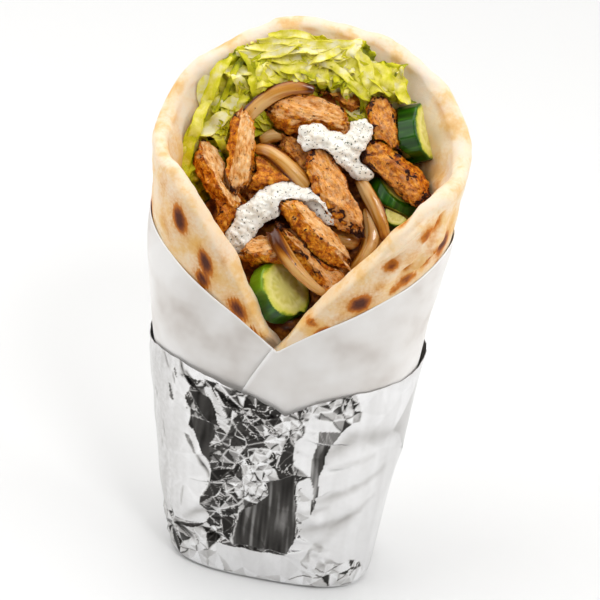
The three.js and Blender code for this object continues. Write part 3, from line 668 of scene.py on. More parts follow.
# %% Lay out the regions of the sheet
# Regions of the sheet: outline, spacing of the points in mm, how far they stand out, share that is painted
# dark and the least and greatest painted reflection of the rest.
REGIONS = [
    ([(-25, 92), (-31, 85), (-29.5, 71), (-20, 54), (-24, 34), (-19, 27), (-14, 16), (10, 16), (14, 30),
      (12, 57), (9.5, 72), (13, 92)], 3.4, 0.9, 0.72, 0.25, 0.8),
    ([(3, 84), (14, 90), (12.3, 76), (6.3, 72), (3, 66), (3.4, 57), (0.6, 45), (-5, 40), (-14, 41),
      (-13.6, 46.5), (-8.6, 50), (-8.6, 58), (-4.3, 64), (-2.3, 74)], 2.5, 1.0, 0.14, 0.55, 1.0),
    ([(-37, 20), (-20, 26), (-12, 20), (-14, 12), (-27, 0), (-37, 4)], 3.6, 1.0, 0.16, 0.72, 1.0),
    ([(14, 20), (20, 25), (25, 21), (27, 16), (34, 14), (37, 8), (38, 0), (20, 0), (14, 8)],
     2.8, 0.7, 0.12, 0.8, 1.0),
    ([(13, 94), (30, 98), (30, 79), (22, 80), (14, 82)], 2.6, 0.5, 0.25, 0.5, 0.95),
]
CALM = (15.0, 0.4, 0.0, 0.9, 0.98)  # the same values for the rest of the sheet
CRUMPLED = 2  # the first regions, which are also full of fine curved wrinkles
# Seed, painted reflection from dark to light and size in mm of each set of fine wrinkles.
FINE_WRINKLES = [(36, 1.0, (3.4, 2.2, 1)), (37, 0.05, (2.8, 2.8, 1)), (38, 0.9, (1.8, 3.6, 1))]
BACK_REGIONS = [  # the same, but by angle round the wrap and height
    ([(110, 30), (150, 12), (185, 40), (175, 80), (130, 92), (112, 60)], 5.0, 0.8, 0.16, 0.75, 1.0),
    ([(-150, 8), (-108, 20), (-100, 60), (-128, 88), (-168, 70), (-172, 30)], 4.5, 0.8, 0.16, 0.75, 1.0),
    ([(-180, 0), (180, 0), (180, 6), (-180, 6)], 6.0, 0.5, 0.03, 0.85, 1.0),
]
BACK = 92 * UNROLL  # from here round to the back the foil is only softly crumpled
SMOOTH_SIDE = [(12.6, 13), (12.8, 30), (12.3, 56), (13.5, 66), (42, 66), (38, 13)]  # as it is here
print("regions:", len(REGIONS) + len(BACK_REGIONS))

# %% Lay out the soft folds and the sharp creases
# Soft folds, most of them on the smooth right side: where each starts and ends as x and height, its half
# width in mm and its depth, which sets both its dent and the painted shade along it.
SOFT_FOLDS = [
    ((19, 65), (28, 73), 3.2, 0.32), ((28, 73), (41.5, 73), 3.6, 0.26), ((18, 44), (31, 50), 1.8, 0.27),
    ((31, 50), (40, 56), 1.8, 0.2), ((13, 29), (29, 36), 2.4, 0.27), ((21, 24), (32, 40), 2.4, 0.17),
    ((22, 60), (36, 64), 1.4, 0.14), ((24, 32), (37, 44), 1.5, 0.15), ((13, 38), (22, 42), 1.2, 0.2),
    ((-37, 55), (-36, 30), 1.6, 0.07), ((-31, 75), (-26, 60), 1.4, 0.08),
    ((-29.5, 39), (-29.3, 30), 0.5, 0.35),
    ((-38.8, 53), (-38.5, 50), 0.5, 0.3), ((-28, 24), (-18, 34), 1.6, 0.3),
]
# Short sharp creases of the left side, in the same way.
SHARP_CREASES = [
    ((-33.8, 94.5), (-31.3, 89.5), 0.7, 0.75), ((-30.6, 90.8), (-25.5, 85.4), 0.8, 0.85),
    ((-40.2, 93), (-37.6, 89.5), 0.6, 0.6), ((-27.8, 81), (-21.9, 74.4), 0.8, 0.8),
    ((-43, 74.1), (-41.9, 69.3), 0.4, 0.4), ((-24.1, 57), (-20, 49.5), 0.7, 0.75),
    ((-30.8, 19.2), (-25.1, 14.3), 1.3, 0.85), ((-22.7, 21.8), (-14.7, 18.6), 1.1, 0.85),
    ((-32, 6), (-29.6, 2), 0.7, 0.7), ((-35.8, 88), (-34.6, 84.5), 0.4, 0.6),
    ((-29.4, 78), (-27, 73.8), 0.5, 0.6), ((-38.5, 62), (-37.6, 56), 0.4, 0.35),
]
print("soft folds and creases:", len(SOFT_FOLDS) + len(SHARP_CREASES))


# %% Unroll the outlines
def unroll(outline):
    """Turns x and height in front into places on the unrolled sheet."""
    angles = np.linspace(-89, 89, 357)
    flat = []
    for x, z in outline:
        xs = on_cone(angles, np.full(angles.shape, float(z)), FOIL_OUTSIDE)[:, 0]
        flat.append((float(np.interp(x, xs, angles)) * UNROLL, z))
    return flat


def inside(a, z, outline):
    """Whether points of the sheet lie in an outline."""
    within = np.zeros(np.shape(a), bool)
    for (a0, z0), (a1, z1) in zip(outline, outline[1:] + outline[:1]):
        if z0 != z1:
            crosses = ((z0 > z) != (z1 > z)) & (a < (a1 - a0) * (z - z0) / (z1 - z0) + a0)
            within ^= crosses
    return within


smooth_side = unroll(SMOOTH_SIDE)
panels = [(name, painted_reflection, unroll(outline)) for name, (painted_reflection, outline) in PANELS.items()]
regions = [(unroll(outline), *rest) for outline, *rest in REGIONS]
regions += [([(t * UNROLL, z) for t, z in outline], *rest) for outline, *rest in BACK_REGIONS]


def region_at(a, z):
    """Spacing, lift, dark share and tones of the last region that holds a point."""
    found = CALM
    for outline, *rest in regions:
        if inside(a, z, outline):
            found = tuple(rest)
    return found


# %% [markdown]
# ## Facets of the foil
#
# Squeezed foil creases at random. The points start from the corners of the laid-out panels, and random
# ones are kept where they aren't too close to another. A Delaunay triangulation joins them: it avoids
# slivers and keeps the panels' edges. The random numbers start from a seed, so each run gives the same.

# %% Strew the crease points and join them into facets
draw = random.Random(5)
crease_points, lifts, folds = [], [], []
for name, painted_reflection, outline in panels:
    middle = sum(z for _, z in outline) / len(outline)
    first, count = len(crease_points), len(outline)
    folds += [(first + k, first + (k + 1) % count) for k in range(count)]
    for a, z in outline:
        crease_points.append((a, z))
        lifts.append(float(np.clip(0.2 * (middle - z), -0.5, 0.9)) + draw.uniform(0.1, 0.4))
LOW, HIGH = -6.0, 108.0  # heights between which points are strewn
STREWN = 16000  # tries
for k in range(12):
    height = lerp(LOW, HIGH, k / 11)
    for side in (-1, 1):
        crease_points.append((side * SHEET_HALF, height))
        lifts.append(0.0)
for _ in range(STREWN):
    a, z = draw.uniform(-SHEET_HALF, SHEET_HALF), draw.uniform(LOW, HIGH)
    spacing, lift, *_ = region_at(a, z)
    gaps = np.hypot(*(np.array(crease_points) - (a, z)).T)
    held = any(inside(a, z, outline) for _, _, outline in panels)
    if gaps.min() > spacing * draw.uniform(0.45, 1.4) and not held:
        crease_points.append((a, z))
        lifts.append(draw.uniform(-0.45, 1.0) * lift)
places, _, triangles, sources, *_ = delaunay_2d_cdt([Vector(p) for p in crease_points], folds, [], 0, 1e-6)
corners = np.array([tuple(p) for p in places])
corner_lift = np.array([lifts[ids[0]] if ids else 0.3 for ids in sources])
facets = np.array(triangles)
print("foil facets:", len(facets))

# %% Give each facet its tones and its creases
# A facet has a painted reflection at each corner, and a crease may be painted as a bright highlight line,
# painted as a dark reflection line, or not show at all.
tones, streaked, creases = np.ones((len(facets), 3)), np.zeros(len(facets)), {}
for k, facet in enumerate(facets):
    a, z = corners[facet].mean(axis=0)
    spacing, lift, dark, least, greatest = region_at(a, z)
    panel = [(name, painted_reflection) for name, painted_reflection, outline in panels if inside(a, z, outline)]
    spread = 0.0
    if panel:
        tones[k] = panel[0][1] * draw.uniform(0.85, 1.15)
        streaked[k] = panel[0][0] in STREAKED
    elif draw.random() < dark:
        tones[k], spread = draw.uniform(0.06, 0.3), 0.5
    else:
        tones[k], spread = draw.uniform(least, greatest), 0.25 * (lift > 0.45)
    tones[k] *= [1 + spread * draw.uniform(-1, 1) for _ in range(3)]
    softer = abs(a) > BACK or (inside(a, z, smooth_side) and not panel)
    if softer:
        tones[k] = lerp(tones[k], 0.93, 0.72)
    for i in range(3):
        pair = tuple(sorted((int(facet[i]), int(facet[(i + 1) % 3]))))
        if pair not in creases:
            kind = draw.random()
            painted_reflection = 1.0 if kind < 0.62 else 0.06
            shows = lift > 0.45 and draw.random() < 0.62
            strength, width = draw.uniform(0.45, 1.0) * shows, draw.uniform(0.16, 0.4)
            creases[pair] = (painted_reflection, 0.35 * strength, 4 * width) if softer else (painted_reflection, strength, width)
        elif panel:
            creases[pair] = (1.0, 0.25 * (panel[0][0] not in STREAKED), 0.25)
print("creases:", len(creases))


# %% Find the facet under each point
def on_facets(place, marks):
    """The relief and painted reflection of places on the sheet, from the facets' corners and creases."""
    relief, painted_reflection = np.zeros(len(place)), np.ones(len(place))
    for k, facet in enumerate(facets):
        p = corners[facet]
        low, high = p.min(axis=0) - 1e-6, p.max(axis=0) + 1e-6
        near = np.where(np.all((place >= low) & (place <= high), axis=1))[0]
        if not len(near):
            continue
        side_1, side_2, q = p[1] - p[0], p[2] - p[0], place[near] - p[0]
        area = side_1[0] * side_2[1] - side_1[1] * side_2[0]
        share_1 = (q[:, 0] * side_2[1] - q[:, 1] * side_2[0]) / area
        share_2 = (side_1[0] * q[:, 1] - side_1[1] * q[:, 0]) / area
        shares = np.stack([1 - share_1 - share_2, share_1, share_2], axis=-1)
        held = np.all(shares >= -1e-9, axis=1)
        near, shares = near[held], shares[held]
        relief[near] = shares @ corner_lift[facet]
        painted_reflection[near] = shares @ tones[k]
        if streaked[k]:
            painted_reflection[near] *= 1 + 0.7 * marks[near]
        for i in range(3):
            pair = tuple(sorted((int(facet[(i + 1) % 3]), int(facet[(i + 2) % 3]))))
            length = np.linalg.norm(corners[pair[0]] - corners[pair[1]])
            line_reflection, strength, width = creases[pair]
            line = strength * np.exp(-((shares[:, i] * abs(area) / length / width) ** 2))
            painted_reflection[near] = lerp(painted_reflection[near], line_reflection, line)
            relief[near] += 0.1 * line * (1 if line_reflection > 0.5 else -1)
    return relief, painted_reflection


# %% [markdown]
# ## Wrinkles and folds of the foil
#
# Squeezed foil also has fine curved wrinkles, and stretched foil has long soft folds. Both are rounder than a
# facet, so they are functions of a place on the sheet: a wrinkle runs where a noise is zero, and a fold along
# a line between two places. Each changes the relief and the painted reflection together: a wrinkle is painted
# as a bright highlight line or a dark line, and a fold is painted darker as painted shade.

# %% Add the wrinkles and the folds
def with_wrinkles(relief, painted_reflection, place, flat, warp):
    """Adds fine wrinkles where the foil is crumpled, but not where the roller's marks show. Each is painted
    as a bright highlight line or a dark reflection line.
    """
    height = flat[:, 1]
    here = np.zeros(len(height), bool)
    for outline, *_ in regions[:CRUMPLED]:
        here |= inside(place[:, 0], height, outline)
    for name, _, outline in panels:
        if name in STREAKED:
            here &= ~inside(place[:, 0], height, outline)
    for seed, line_reflection, size in FINE_WRINKLES:
        bent = rough(flat + 1.2 * np.pad(warp, ((0, 0), (0, 1))), size, seed)
        line = here * np.exp(-((bent / 0.07) ** 2)) * ease(2 * rough(flat, 4.5, seed + 5) + 0.1)
        painted_reflection = lerp(painted_reflection, line_reflection, 0.85 * line)
        relief = relief + 0.12 * line * (1 if line_reflection > 0.5 else -1)
    return relief, painted_reflection


def mottled(painted_reflection, around, flat):
    """Dulls the painted reflection in faint clouds and streaks, which are stronger on the left side."""
    left = ease((-around - 32) / 22) * ease((150 + around) / 30)
    clouds = 0.5 + 0.5 * rough(flat, 1.6, 34) + 0.35 * rough(flat, (1.8, 20, 1), 35)
    clouds = np.clip(clouds, 0, 1)
    return painted_reflection * (1 - left * (0.1 + 0.14 * clouds) - 0.04 * (1 - left) * clouds)


def with_folds(relief, painted_reflection, place):
    """Adds the folds and creases that are laid out one by one, each a dent with painted shade along it."""
    for start, end, width, depth in SOFT_FOLDS + SHARP_CREASES:
        (a0, z0), (a1, z1) = unroll([start, end])
        run = np.array([a1 - a0, z1 - z0])
        share = np.clip((place - (a0, z0)) @ run / (run @ run), 0, 1)
        away = np.linalg.norm(place - (a0, z0) - share[:, None] * run, axis=1)
        fold = np.exp(-((away / width) ** 2)) * (1 - 0.4 * np.abs(2 * share - 1))
        painted_reflection = painted_reflection * (1 - depth * fold)
        relief = relief - 1.2 * min(depth, 0.35) * fold
    return relief, painted_reflection


def relief_and_painted_reflection(theta, z):
    """How far the foil stands out at points of the sheet, and how bright its painted reflection is there."""
    around = wrapped(theta)
    flat = np.stack([around * UNROLL, z, 0 * z], -1)
    warp = np.stack([0.6 * rough(flat, 6, seed) + 0.14 * rough(flat, 1.8, seed + 9) for seed in (31, 32)], -1)
    place = flat[:, :2] + warp
    place[:, 0] = np.clip(place[:, 0], -SHEET_HALF + 1e-3, SHEET_HALF - 1e-3)
    relief, painted_reflection = on_facets(place, rough(flat, (1.6, 16, 1), 33))
    relief, painted_reflection = with_wrinkles(relief, painted_reflection, place, flat, warp)
    relief, painted_reflection = with_folds(relief, mottled(painted_reflection, around, flat), place)
    off_seam = ease((180 - np.abs(around)) / 4)  # the sheet's two ends meet at the back
    return relief * off_seam, lerp(0.93, painted_reflection, off_seam)


# %% [markdown]
# ## Sheet of the foil
#
# The foil is one closed sheet: each column of its grid runs from the middle of the foot up the outside,
# over the rim, down the inside and back to the middle. Most of its rows are outside, where the facets
# need them. At the rim the wall is as thin as foil, and lower down it is as thick as its solid.

# %% Shape the foil
def foil_edge(theta):
    """The height of the rim: lowest in front, with a sag on the left and small waves."""
    around = wrapped(theta)
    rise = FOIL["rise"] * (1 - np.exp(-np.abs(around - 6) / 22))
    sag = FOIL["left_sag"] * ease((-around - 40) / 50) * ease((180 + around) / 60)
    wavy = 0.14 * np.sin(np.radians(23 * around)) + 0.1 * np.sin(np.radians(41 * around + 50))
    return FOIL["front"] + rise - sag + wavy


# Rows of the sheet's section, in the order of the description above.
FOIL_ROWS = {"foot": 5, "outside": 218, "rim": 1, "inside": 12, "floor": 4}
FOIL_COLUMNS = 380
ROUND_FOOT = 2.2  # mm, the height up to which the foot's edge is rounded


def foil_points(u, v):
    """Points of the foil and their painted reflections. The inside has few rows, and only dents show in it;
    its painted reflection is a flat mid-grey, as painted shade.
    """
    w = 2 * u - 1
    theta = 180 * (0.46 * w + 0.54 * w**3)  # more columns in front, where the creases are fine
    row = v * sum(FOIL_ROWS.values())
    up_at = FOIL_ROWS["foot"]
    rim_at = up_at + FOIL_ROWS["outside"]
    down_at = rim_at + FOIL_ROWS["rim"]
    floor_at = down_at + FOIL_ROWS["inside"]
    is_inner = row > rim_at + 0.5
    up = np.clip((row - up_at) / FOIL_ROWS["outside"], 0, 1)
    down = np.clip((floor_at - row) / FOIL_ROWS["inside"], 0, 1)
    top = foil_edge(theta)
    z = np.where(is_inner, lerp(FOIL["thick"], top, 1 - (1 - down) ** 2), top * up)
    relief, painted_reflection = relief_and_painted_reflection(theta, z)
    at_rim = ease((z - top + 8) / 8)
    open_side = np.exp(-(((np.abs(theta) - 96) / 16) ** 2))
    hug = FOIL["hug"] * at_rim * (1 - 1.3 * open_side)
    relief = lerp(relief, np.maximum(relief, 0), at_rim)
    rounding = 1 - np.sqrt(np.clip(1 - (1 - z / ROUND_FOOT) ** 2, 0, 1))
    foot = FOIL["foot"] * rounding * (z < ROUND_FOOT)
    # The wall is thicker where a facet stands out, so the inside stays level behind it.
    below_rim = ease((top - z) / 7)
    wall = lerp(FOIL["sheet"], FOIL["thick"], below_rim) + np.maximum(relief, 0) * ease(z / 5) * below_rim
    relief_here = relief * ease(z / 5)
    offset = FOIL_OUTSIDE - hug + np.where(is_inner, relief_here - wall, relief_here - foot)
    points = on_cone(theta, z, offset)
    # The last rows at both ends of the section run in to the middle of the foot.
    to_middle = np.where(is_inner, (row - sum(FOIL_ROWS.values())) / -FOIL_ROWS["floor"], row / up_at)
    to_middle = np.clip(to_middle, 0, 1)[:, None]
    points = points * np.concatenate([to_middle, to_middle, np.ones_like(to_middle)], axis=1)
    # Inside the cup, below the rim, the painted reflection is a flat mid-grey: painted shade.
    return points, np.where(is_inner & (below_rim > 0.02), 0.55, painted_reflection)


foil, u, v = grid("foil_cup_sheet", FOIL_COLUMNS, sum(FOIL_ROWS.values()))
points, painted_reflection = foil_points(u, v)
put_points(foil, points)
# The painted reflection is kept for each point: dark and bright reflections painted into the foil's colour.
put_attribute(foil, "painted_reflection", painted_reflection)
edit(foil, MERGE, OUTWARDS)
print("foil sheet:", len(foil.data.vertices), "points")

# %% [markdown]
# ## Kitchen foil
#
# Rolled aluminium is a metal mirror, slightly brushed by the rollers. Its facets reflect either the pale
# floor and the softboxes or the dark room, and that reflection is painted: the painted reflection of each
# facet, kept as an attribute, goes into the metal's colour, and the roughness stays low. Fine wrinkles, too
# small for the mesh, are bump.

# %% Material: aluminium foil
paint, tree, shader = material("rolled aluminium foil", Metallic=1.0, Roughness=0.27)
where = add(tree, "TexCoord").outputs["Object"]
# The painted reflection, times the rollers' streaks, picks the metal's colour from dark to light: painted
# reflections and highlights.
painted_reflection = add(tree, "Attribute", attribute_name="painted_reflection")
upright = add(tree, "Mapping", {"Vector": where, "Scale": (240, 240, 20)})
streaks = add(tree, "TexNoise", {"Vector": upright.outputs[0], "Scale": 1.0, "Detail": 3})
brushed = add(tree, "MapRange", {0: streaks.outputs[0], 1: 0.3, 2: 0.75, 3: 0.91, 4: 1.0})
bright = add(tree, "Math", {0: painted_reflection.outputs["Fac"], 1: brushed.outputs[0]}, operation="MULTIPLY")
metal = add(tree, "ValToRGB", {0: bright.outputs[0]},
            [(0.0, "#0D0B0A"), (0.25, "#484644"), (0.6, "#BCBAB8"), (1.0, "#F6F6F7")])
tree.links.new(metal.outputs[0], shader.inputs["Base Color"])
wrinkles = add(tree, "TexNoise", {"Vector": where, "Scale": 240, "Detail": 3, "Distortion": 1.2})
dent = add(tree, "Bump", {"Height": wrinkles.outputs[0], "Strength": 0.2, "Distance": 0.7 * MM})
tree.links.new(dent.outputs[0], shader.inputs["Normal"])
hand_over(foil, paint, "foil", "foil", angle=60)

# %% [markdown]
# ## The filling
#
# The solids already hold each strip and slice in its place, so each piece starts as a copy of its solid.
# A voxel remesh gives the copy an even, fine skin that noise can shape. The filling's surface slopes up
# from front to back, so it has a frame of its own: x to the right, y up the slope and z out of it.

# %% Frame of the filling
FILL_TILT = 49.0  # degrees
FILL_ORIGIN = (2.0, 5.0, 150.0)  # mm
SLOPE = Matrix.Translation(FILL_ORIGIN) @ Matrix.Rotation(math.radians(FILL_TILT), 4, "X")


def moved(points, matrix):
    """Points taken through a matrix."""
    turn = np.array(matrix.to_3x3())
    return points @ turn.T + np.array(matrix.translation)


SLOPE_AXES = np.array(SLOPE.to_3x3())
OUT_OF_SLOPE = SLOPE_AXES[:, 2]
print("the filling slopes", FILL_TILT, "degrees")


# %% Copy a solid and measure the copy
def copy_of(node, name, voxel, smooth=4):
    """A merged, evenly meshed copy of a solid. voxel is its new face size in millimetres."""
    piece = bpy.data.objects.new(name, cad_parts[node].data.copy())
    bpy.context.collection.objects.link(piece)
    edit(piece, MERGE)
    modify(piece, "REMESH", mode="VOXEL", voxel_size=voxel * MM)
    piece = largest_part(piece)
    modify(piece, "SMOOTH", factor=0.5, iterations=smooth)
    return piece


def long_direction(points):
    """The middle of a piece and the direction in which it is longest."""
    middle = points.mean(axis=0)
    direction = np.linalg.eigh(np.cov((points - middle).T))[1][:, 2]
    return middle, direction * np.sign(direction[np.abs(direction).argmax()])


def axes_with(long, face):
    """Three directions at right angles: along a piece, across it and out of its face."""
    face = face - long * (face @ long)
    face = face / np.linalg.norm(face)
    return np.stack([long, np.cross(face, long), face])


def ridges(piece, passes=8):
    """How far each point stands proud of its surroundings, in millimetres."""
    ends = np.zeros(len(piece.data.edges) * 2, np.int32)
    piece.data.edges.foreach_get("vertices", ends)
    i, j = ends.reshape(-1, 2).T
    points = points_of(piece)
    total = len(points)
    count = np.bincount(i, minlength=total) + np.bincount(j, minlength=total)
    smooth = points.copy()
    for _ in range(passes):
        sums = [np.bincount(i, smooth[j, k], total) + np.bincount(j, smooth[i, k], total) for k in range(3)]
        smooth = np.stack(sums, axis=-1) / count[:, None]
    return np.sum((points - smooth) * points_of(piece, "normal"), axis=1)

# %% [markdown]
# ## Chicken
#
# Strips of grilled thigh meat, torn along the grain. Tearing leaves flat, angular faces with crumbly lumps
# and creases, frayed ends and fine cracks along the grain. The face that was inside is pale, the others have
# caught the spice, and the edges and ends are charred in patches. Sides that turn away from the top are
# darkened with the char as painted shade. So each strip is described by where its torn face looks, how pale
# that face is and how much of the strip is charred.

# %% Describe the strips
# Where the torn face looks in the filling's frame, how pale it is and how charred the strip is.
TORN = {
    "chicken_1": ((0.45, 0.5, 0.8), 0.9, 0.55), "chicken_2": ((0.35, 0.1, 0.9), 0.6, 0.85),
    "chicken_3": ((0.35, 0.0, 0.9), 1.0, 0.7), "chicken_4": ((0.1, 0.25, 0.9), 0.7, 0.95),
    "chicken_5": ((-0.3, -0.35, 0.9), 0.25, 1.0), "chicken_6": ((0.2, 0.0, 1.0), 0.35, 0.85),
    "chicken_7": ((0.0, 0.2, 0.95), 0.7, 0.6), "chicken_8": ((0.0, 0.0, 1.0), 0.05, 0.4),
    "chicken_9": ((0.0, 0.0, 1.0), 0.05, 0.75), "chicken_10": ((0.5, 0.35, 0.8), 1.0, 0.5),
    "chicken_11": ((0.0, 0.6, 0.8), 0.8, 0.4), "chicken_12": ((0.0, 0.0, 1.0), 0.2, 0.9),
    "chicken_13": ((0.0, 0.0, 1.0), 0.3, 0.6), "chicken_14": ((0.0, 0.0, 1.0), 0.3, 0.6),
}
TEARS = 5  # flat faces that run along a strip
print("strips of chicken:", len(TORN))


# %% Shape a strip
def shaved(local, draw):
    """Presses a piece's points against flat faces that run roughly along its grain."""
    for k in range(TEARS):
        angle = 2 * math.pi * (k + draw.uniform(-0.3, 0.3)) / TEARS
        face = np.array([draw.uniform(-0.35, 0.35), math.cos(angle), math.sin(angle)])
        face = face / np.linalg.norm(face)
        reach = local @ face
        over = np.maximum(reach - draw.uniform(0.7, 0.88) * np.percentile(reach, 98), 0)
        local = local - 0.88 * over[:, None] * face
    return local


def lumpy(points, size, seed):
    """Rounded lumps with sharp creases between them, from about -0.5 to 0.9."""
    return 2.2 * np.abs(rough(points, size, seed)) - 0.5


def torn_strip(piece, look, paleness, k):
    """Shapes one strip.

    Gives its points along the grain, its normals, and how torn, cracked and near an end each point is.
    """
    points = points_of(piece)
    middle, long = long_direction(points)
    axes = axes_with(long, SLOPE_AXES @ look)
    local = shaved((points - middle) @ axes.T, random.Random(300 + k))
    half = np.abs(local).max(axis=0)
    local[:, 1] *= 0.88 if half[0] > 1.8 * half[1] else 0.95
    to_end = ease((np.abs(local[:, 0]) / half[0] - 0.7) / 0.3)
    # The torn face is cut down to a nearly flat one, and the ends are frayed along the grain.
    level = 0.72 * np.percentile(local[:, 2], 97) + 0.4 * rough(local, (7, 3, 3), 20 + k)
    over = np.maximum(local[:, 2] - level, 0)
    local[:, 2] -= 0.8 * over * (paleness > 0.2)
    frayed = lumpy(local * (0, 1, 1), 1.4, 60 + k) + 0.6 * rough(local * (0, 1, 1), 0.8, 61 + k)
    local[:, 0] += np.sign(local[:, 0]) * to_end * 1.1 * frayed
    put_points(piece, middle + local @ axes)
    normals = points_of(piece, "normal")
    torn = ease((normals @ axes[2] - 0.5 + 0.3 * rough(local, 2.2, 120 + k)) / 0.25)
    crack = np.exp(-((rough(local, (4, 1.2, 1.2), 140 + k) / 0.08) ** 2)) * ease(2 * rough(local, 3, 150 + k))
    crumbs = 0.5 * rough(local, (4, 2.6, 2.6), 80 + k) + 0.3 * rough(local, 1.5, 90 + k)
    crumbs = crumbs + 0.2 * lumpy(local, (2.0, 1.0, 1.0), 99 + k)
    lift = crumbs * lerp(1, 0.6, torn) - 0.3 * crack - 0.15
    put_points(piece, points_of(piece) + normals * lift[:, None])
    return local, normals, torn, crack, to_end


# %% Char a strip
def char_of(piece, local, normals, torn, to_end, k):
    """Char from 0 to 1: in patches, on edges and ends and round the torn face, with painted shade where a
    side turns away.
    """
    edge = ease((ridges(piece, 50) - 0.25) / 0.7)
    patches = rough(local, 5.5, 160 + k) + 0.5 * rough(local, 2.4, 165 + k)
    # Sides that turn away from the slope's top get more char: painted shade.
    aside = ease((0.5 - normals @ OUT_OF_SLOPE) / 0.8)
    char = 0.95 * edge + 0.7 * to_end + 2.2 * torn * (1 - torn) + 0.15 + 0.6 * aside
    return np.clip(char * (0.85 + 1.5 * patches), 0, 1)


# %% Tear the chicken
APART = 0.1  # metres between two pieces in a pattern's space, so that no two look the same
strips = []
for k, (node, (look, paleness, charred)) in enumerate(TORN.items()):
    piece = copy_of(node, f"{node}_strip", 0.38, smooth=1)
    local, normals, torn, crack, to_end = torn_strip(piece, look, paleness, k)
    put_attribute(piece, "strip", local * MM + k * APART)
    put_attribute(piece, "torn", torn * paleness)
    put_attribute(piece, "char", char_of(piece, local, normals, torn, to_end, k) * charred)
    # Cracks and hollows are darkened: painted shade in the creases.
    put_attribute(piece, "painted_crease_shade", np.clip(0.7 * crack + ease((-ridges(piece) - 0.05) / 0.35), 0, 1))
    strips.append((piece, node))
print("faces of all strips:", sum(len(piece.data.polygons) for piece, _ in strips))

# %% [markdown]
# ## Grilled meat
#
# Cooked chicken is a wet, slightly see-through fibre with a thin film of fat: light enters a little way, and
# the film gives small highlights over a duller body. The torn face is peach and the spiced faces are orange,
# and every crease and crack is painted browner as painted shade. Char comes as small blots that crowd
# together where the attribute is high, and that attribute also carries painted shade on the sides that turn
# away from the top. Ground pepper comes as fine dark grains of no regular shape.

# %% Material: grilled chicken
paint, tree, shader = material(
    "grilled spiced chicken", Roughness=0.5, Specular_IOR_Level=0.15, Coat_Weight=0.08, Coat_Roughness=0.2,
    Subsurface_Weight=0.1, Subsurface_Radius=(1.0, 0.45, 0.2), Subsurface_Scale=1.5 * MM)
strip = add(tree, "Attribute", attribute_name="strip").outputs["Vector"]
torn = add(tree, "Attribute", attribute_name="torn").outputs["Fac"]
char = add(tree, "Attribute", attribute_name="char").outputs["Fac"]
painted_crease_shade = add(tree, "Attribute", attribute_name="painted_crease_shade").outputs["Fac"]
stretched = add(tree, "Mapping", {"Vector": strip, "Scale": (330, 900, 900)})
grain = add(tree, "TexNoise", {"Vector": stretched.outputs[0], "Scale": 1.0, "Detail": 5, "Roughness": 0.6})
fibres = add(tree, "ValToRGB", {0: grain.outputs[0]},
             [(0.31, "#AC5C18"), (0.4, "#D89246"), (0.5, "#ECB26E"), (0.64, "#F6D09E")])
blotches = add(tree, "TexNoise", {"Vector": strip, "Scale": 520, "Detail": 6, "Roughness": 0.7})
spiced = add(tree, "ValToRGB", {0: blotches.outputs[0]},
             [(0.36, "#7A3402"), (0.45, "#B85E06"), (0.54, "#DE8816"), (0.64, "#F0AC3C")])
meat = add(tree, "MixRGB", {0: torn, 1: spiced.outputs[0], 2: fibres.outputs[0]})
# Painted shade: creases and cracks are mixed towards a dark brown.
shadow = add(tree, "Math", {0: painted_crease_shade, 1: 0.65}, operation="MULTIPLY")
creased = add(tree, "MixRGB", {0: shadow.outputs[0], 1: meat.outputs[0], 2: linear("#8C3804")})
# The char holds real char and the painted shade on the turned-away sides.
seared = add(tree, "MapRange", {0: char, 1: 0.15, 2: 0.9, 3: 0.0, 4: 0.75})
browned = add(tree, "MixRGB", {0: seared.outputs[0], 1: creased.outputs[0], 2: linear("#7C3206")})
blots = add(tree, "TexNoise", {"Vector": strip, "Scale": 560, "Detail": 5, "Roughness": 0.65})
limit = add(tree, "MapRange", {0: char, 1: 0.0, 2: 1.0, 3: 0.71, 4: 0.4})
above = add(tree, "Math", {0: blots.outputs[0], 1: limit.outputs[0]}, operation="SUBTRACT")
black = add(tree, "MapRange", {0: above.outputs[0], 1: -0.015, 2: 0.045}, clamp=True)
burnt = add(tree, "MixRGB", {0: black.outputs[0], 1: browned.outputs[0], 2: linear("#32140A")})
ground = add(tree, "TexNoise", {"Vector": strip, "Scale": 1500, "Detail": 2})
pepper = add(tree, "MapRange", {0: ground.outputs[0], 1: 0.685, 2: 0.72}, clamp=True)
spotted = add(tree, "MixRGB", {0: pepper.outputs[0], 1: burnt.outputs[0], 2: linear("#241208")})
tree.links.new(spotted.outputs[0], shader.inputs["Base Color"])
dent = add(tree, "Bump", {"Height": grain.outputs[0], "Strength": 0.4, "Distance": 0.5 * MM})
dent_2 = add(tree, "Bump", {"Height": blotches.outputs[0], "Strength": 0.65, "Distance": 0.6 * MM,
                            "Normal": dent.outputs[0]})
tree.links.new(dent_2.outputs[0], shader.inputs["Normal"])
for piece, node in strips:
    hand_over(piece, paint, "chicken", node)

# %% [markdown]
# ## Onion
#
# Fried onion is soft and glassy. Its bands keep their arc, are pale and see-through in the middle, and
# turn golden brown along both thin edges. Fine veins run along them. A band is bent, so its points are
# first straightened with a fitted curve. That gives the distance across the band, for the browned edges,
# and places for veins that follow it. Two bands are longer than their solids and are then laid along a
# curve of their own.

# %% Describe the bands
# How browned each band is, how much its left end is drawn out and how charred that end is.
FRIED = {"onion_1": (0.45, 0.2, 0), "onion_2": (0.2, 0, 0), "onion_3": (0.2, 0, 0), "onion_4": (0.12, 0, 0),
         "onion_5": (0.15, 0, 0.8), "onion_6": (0.5, 0, 0), "onion_7": (0.2, 0, 0)}
WIDER = 0.22  # how much wider than its solid a band is
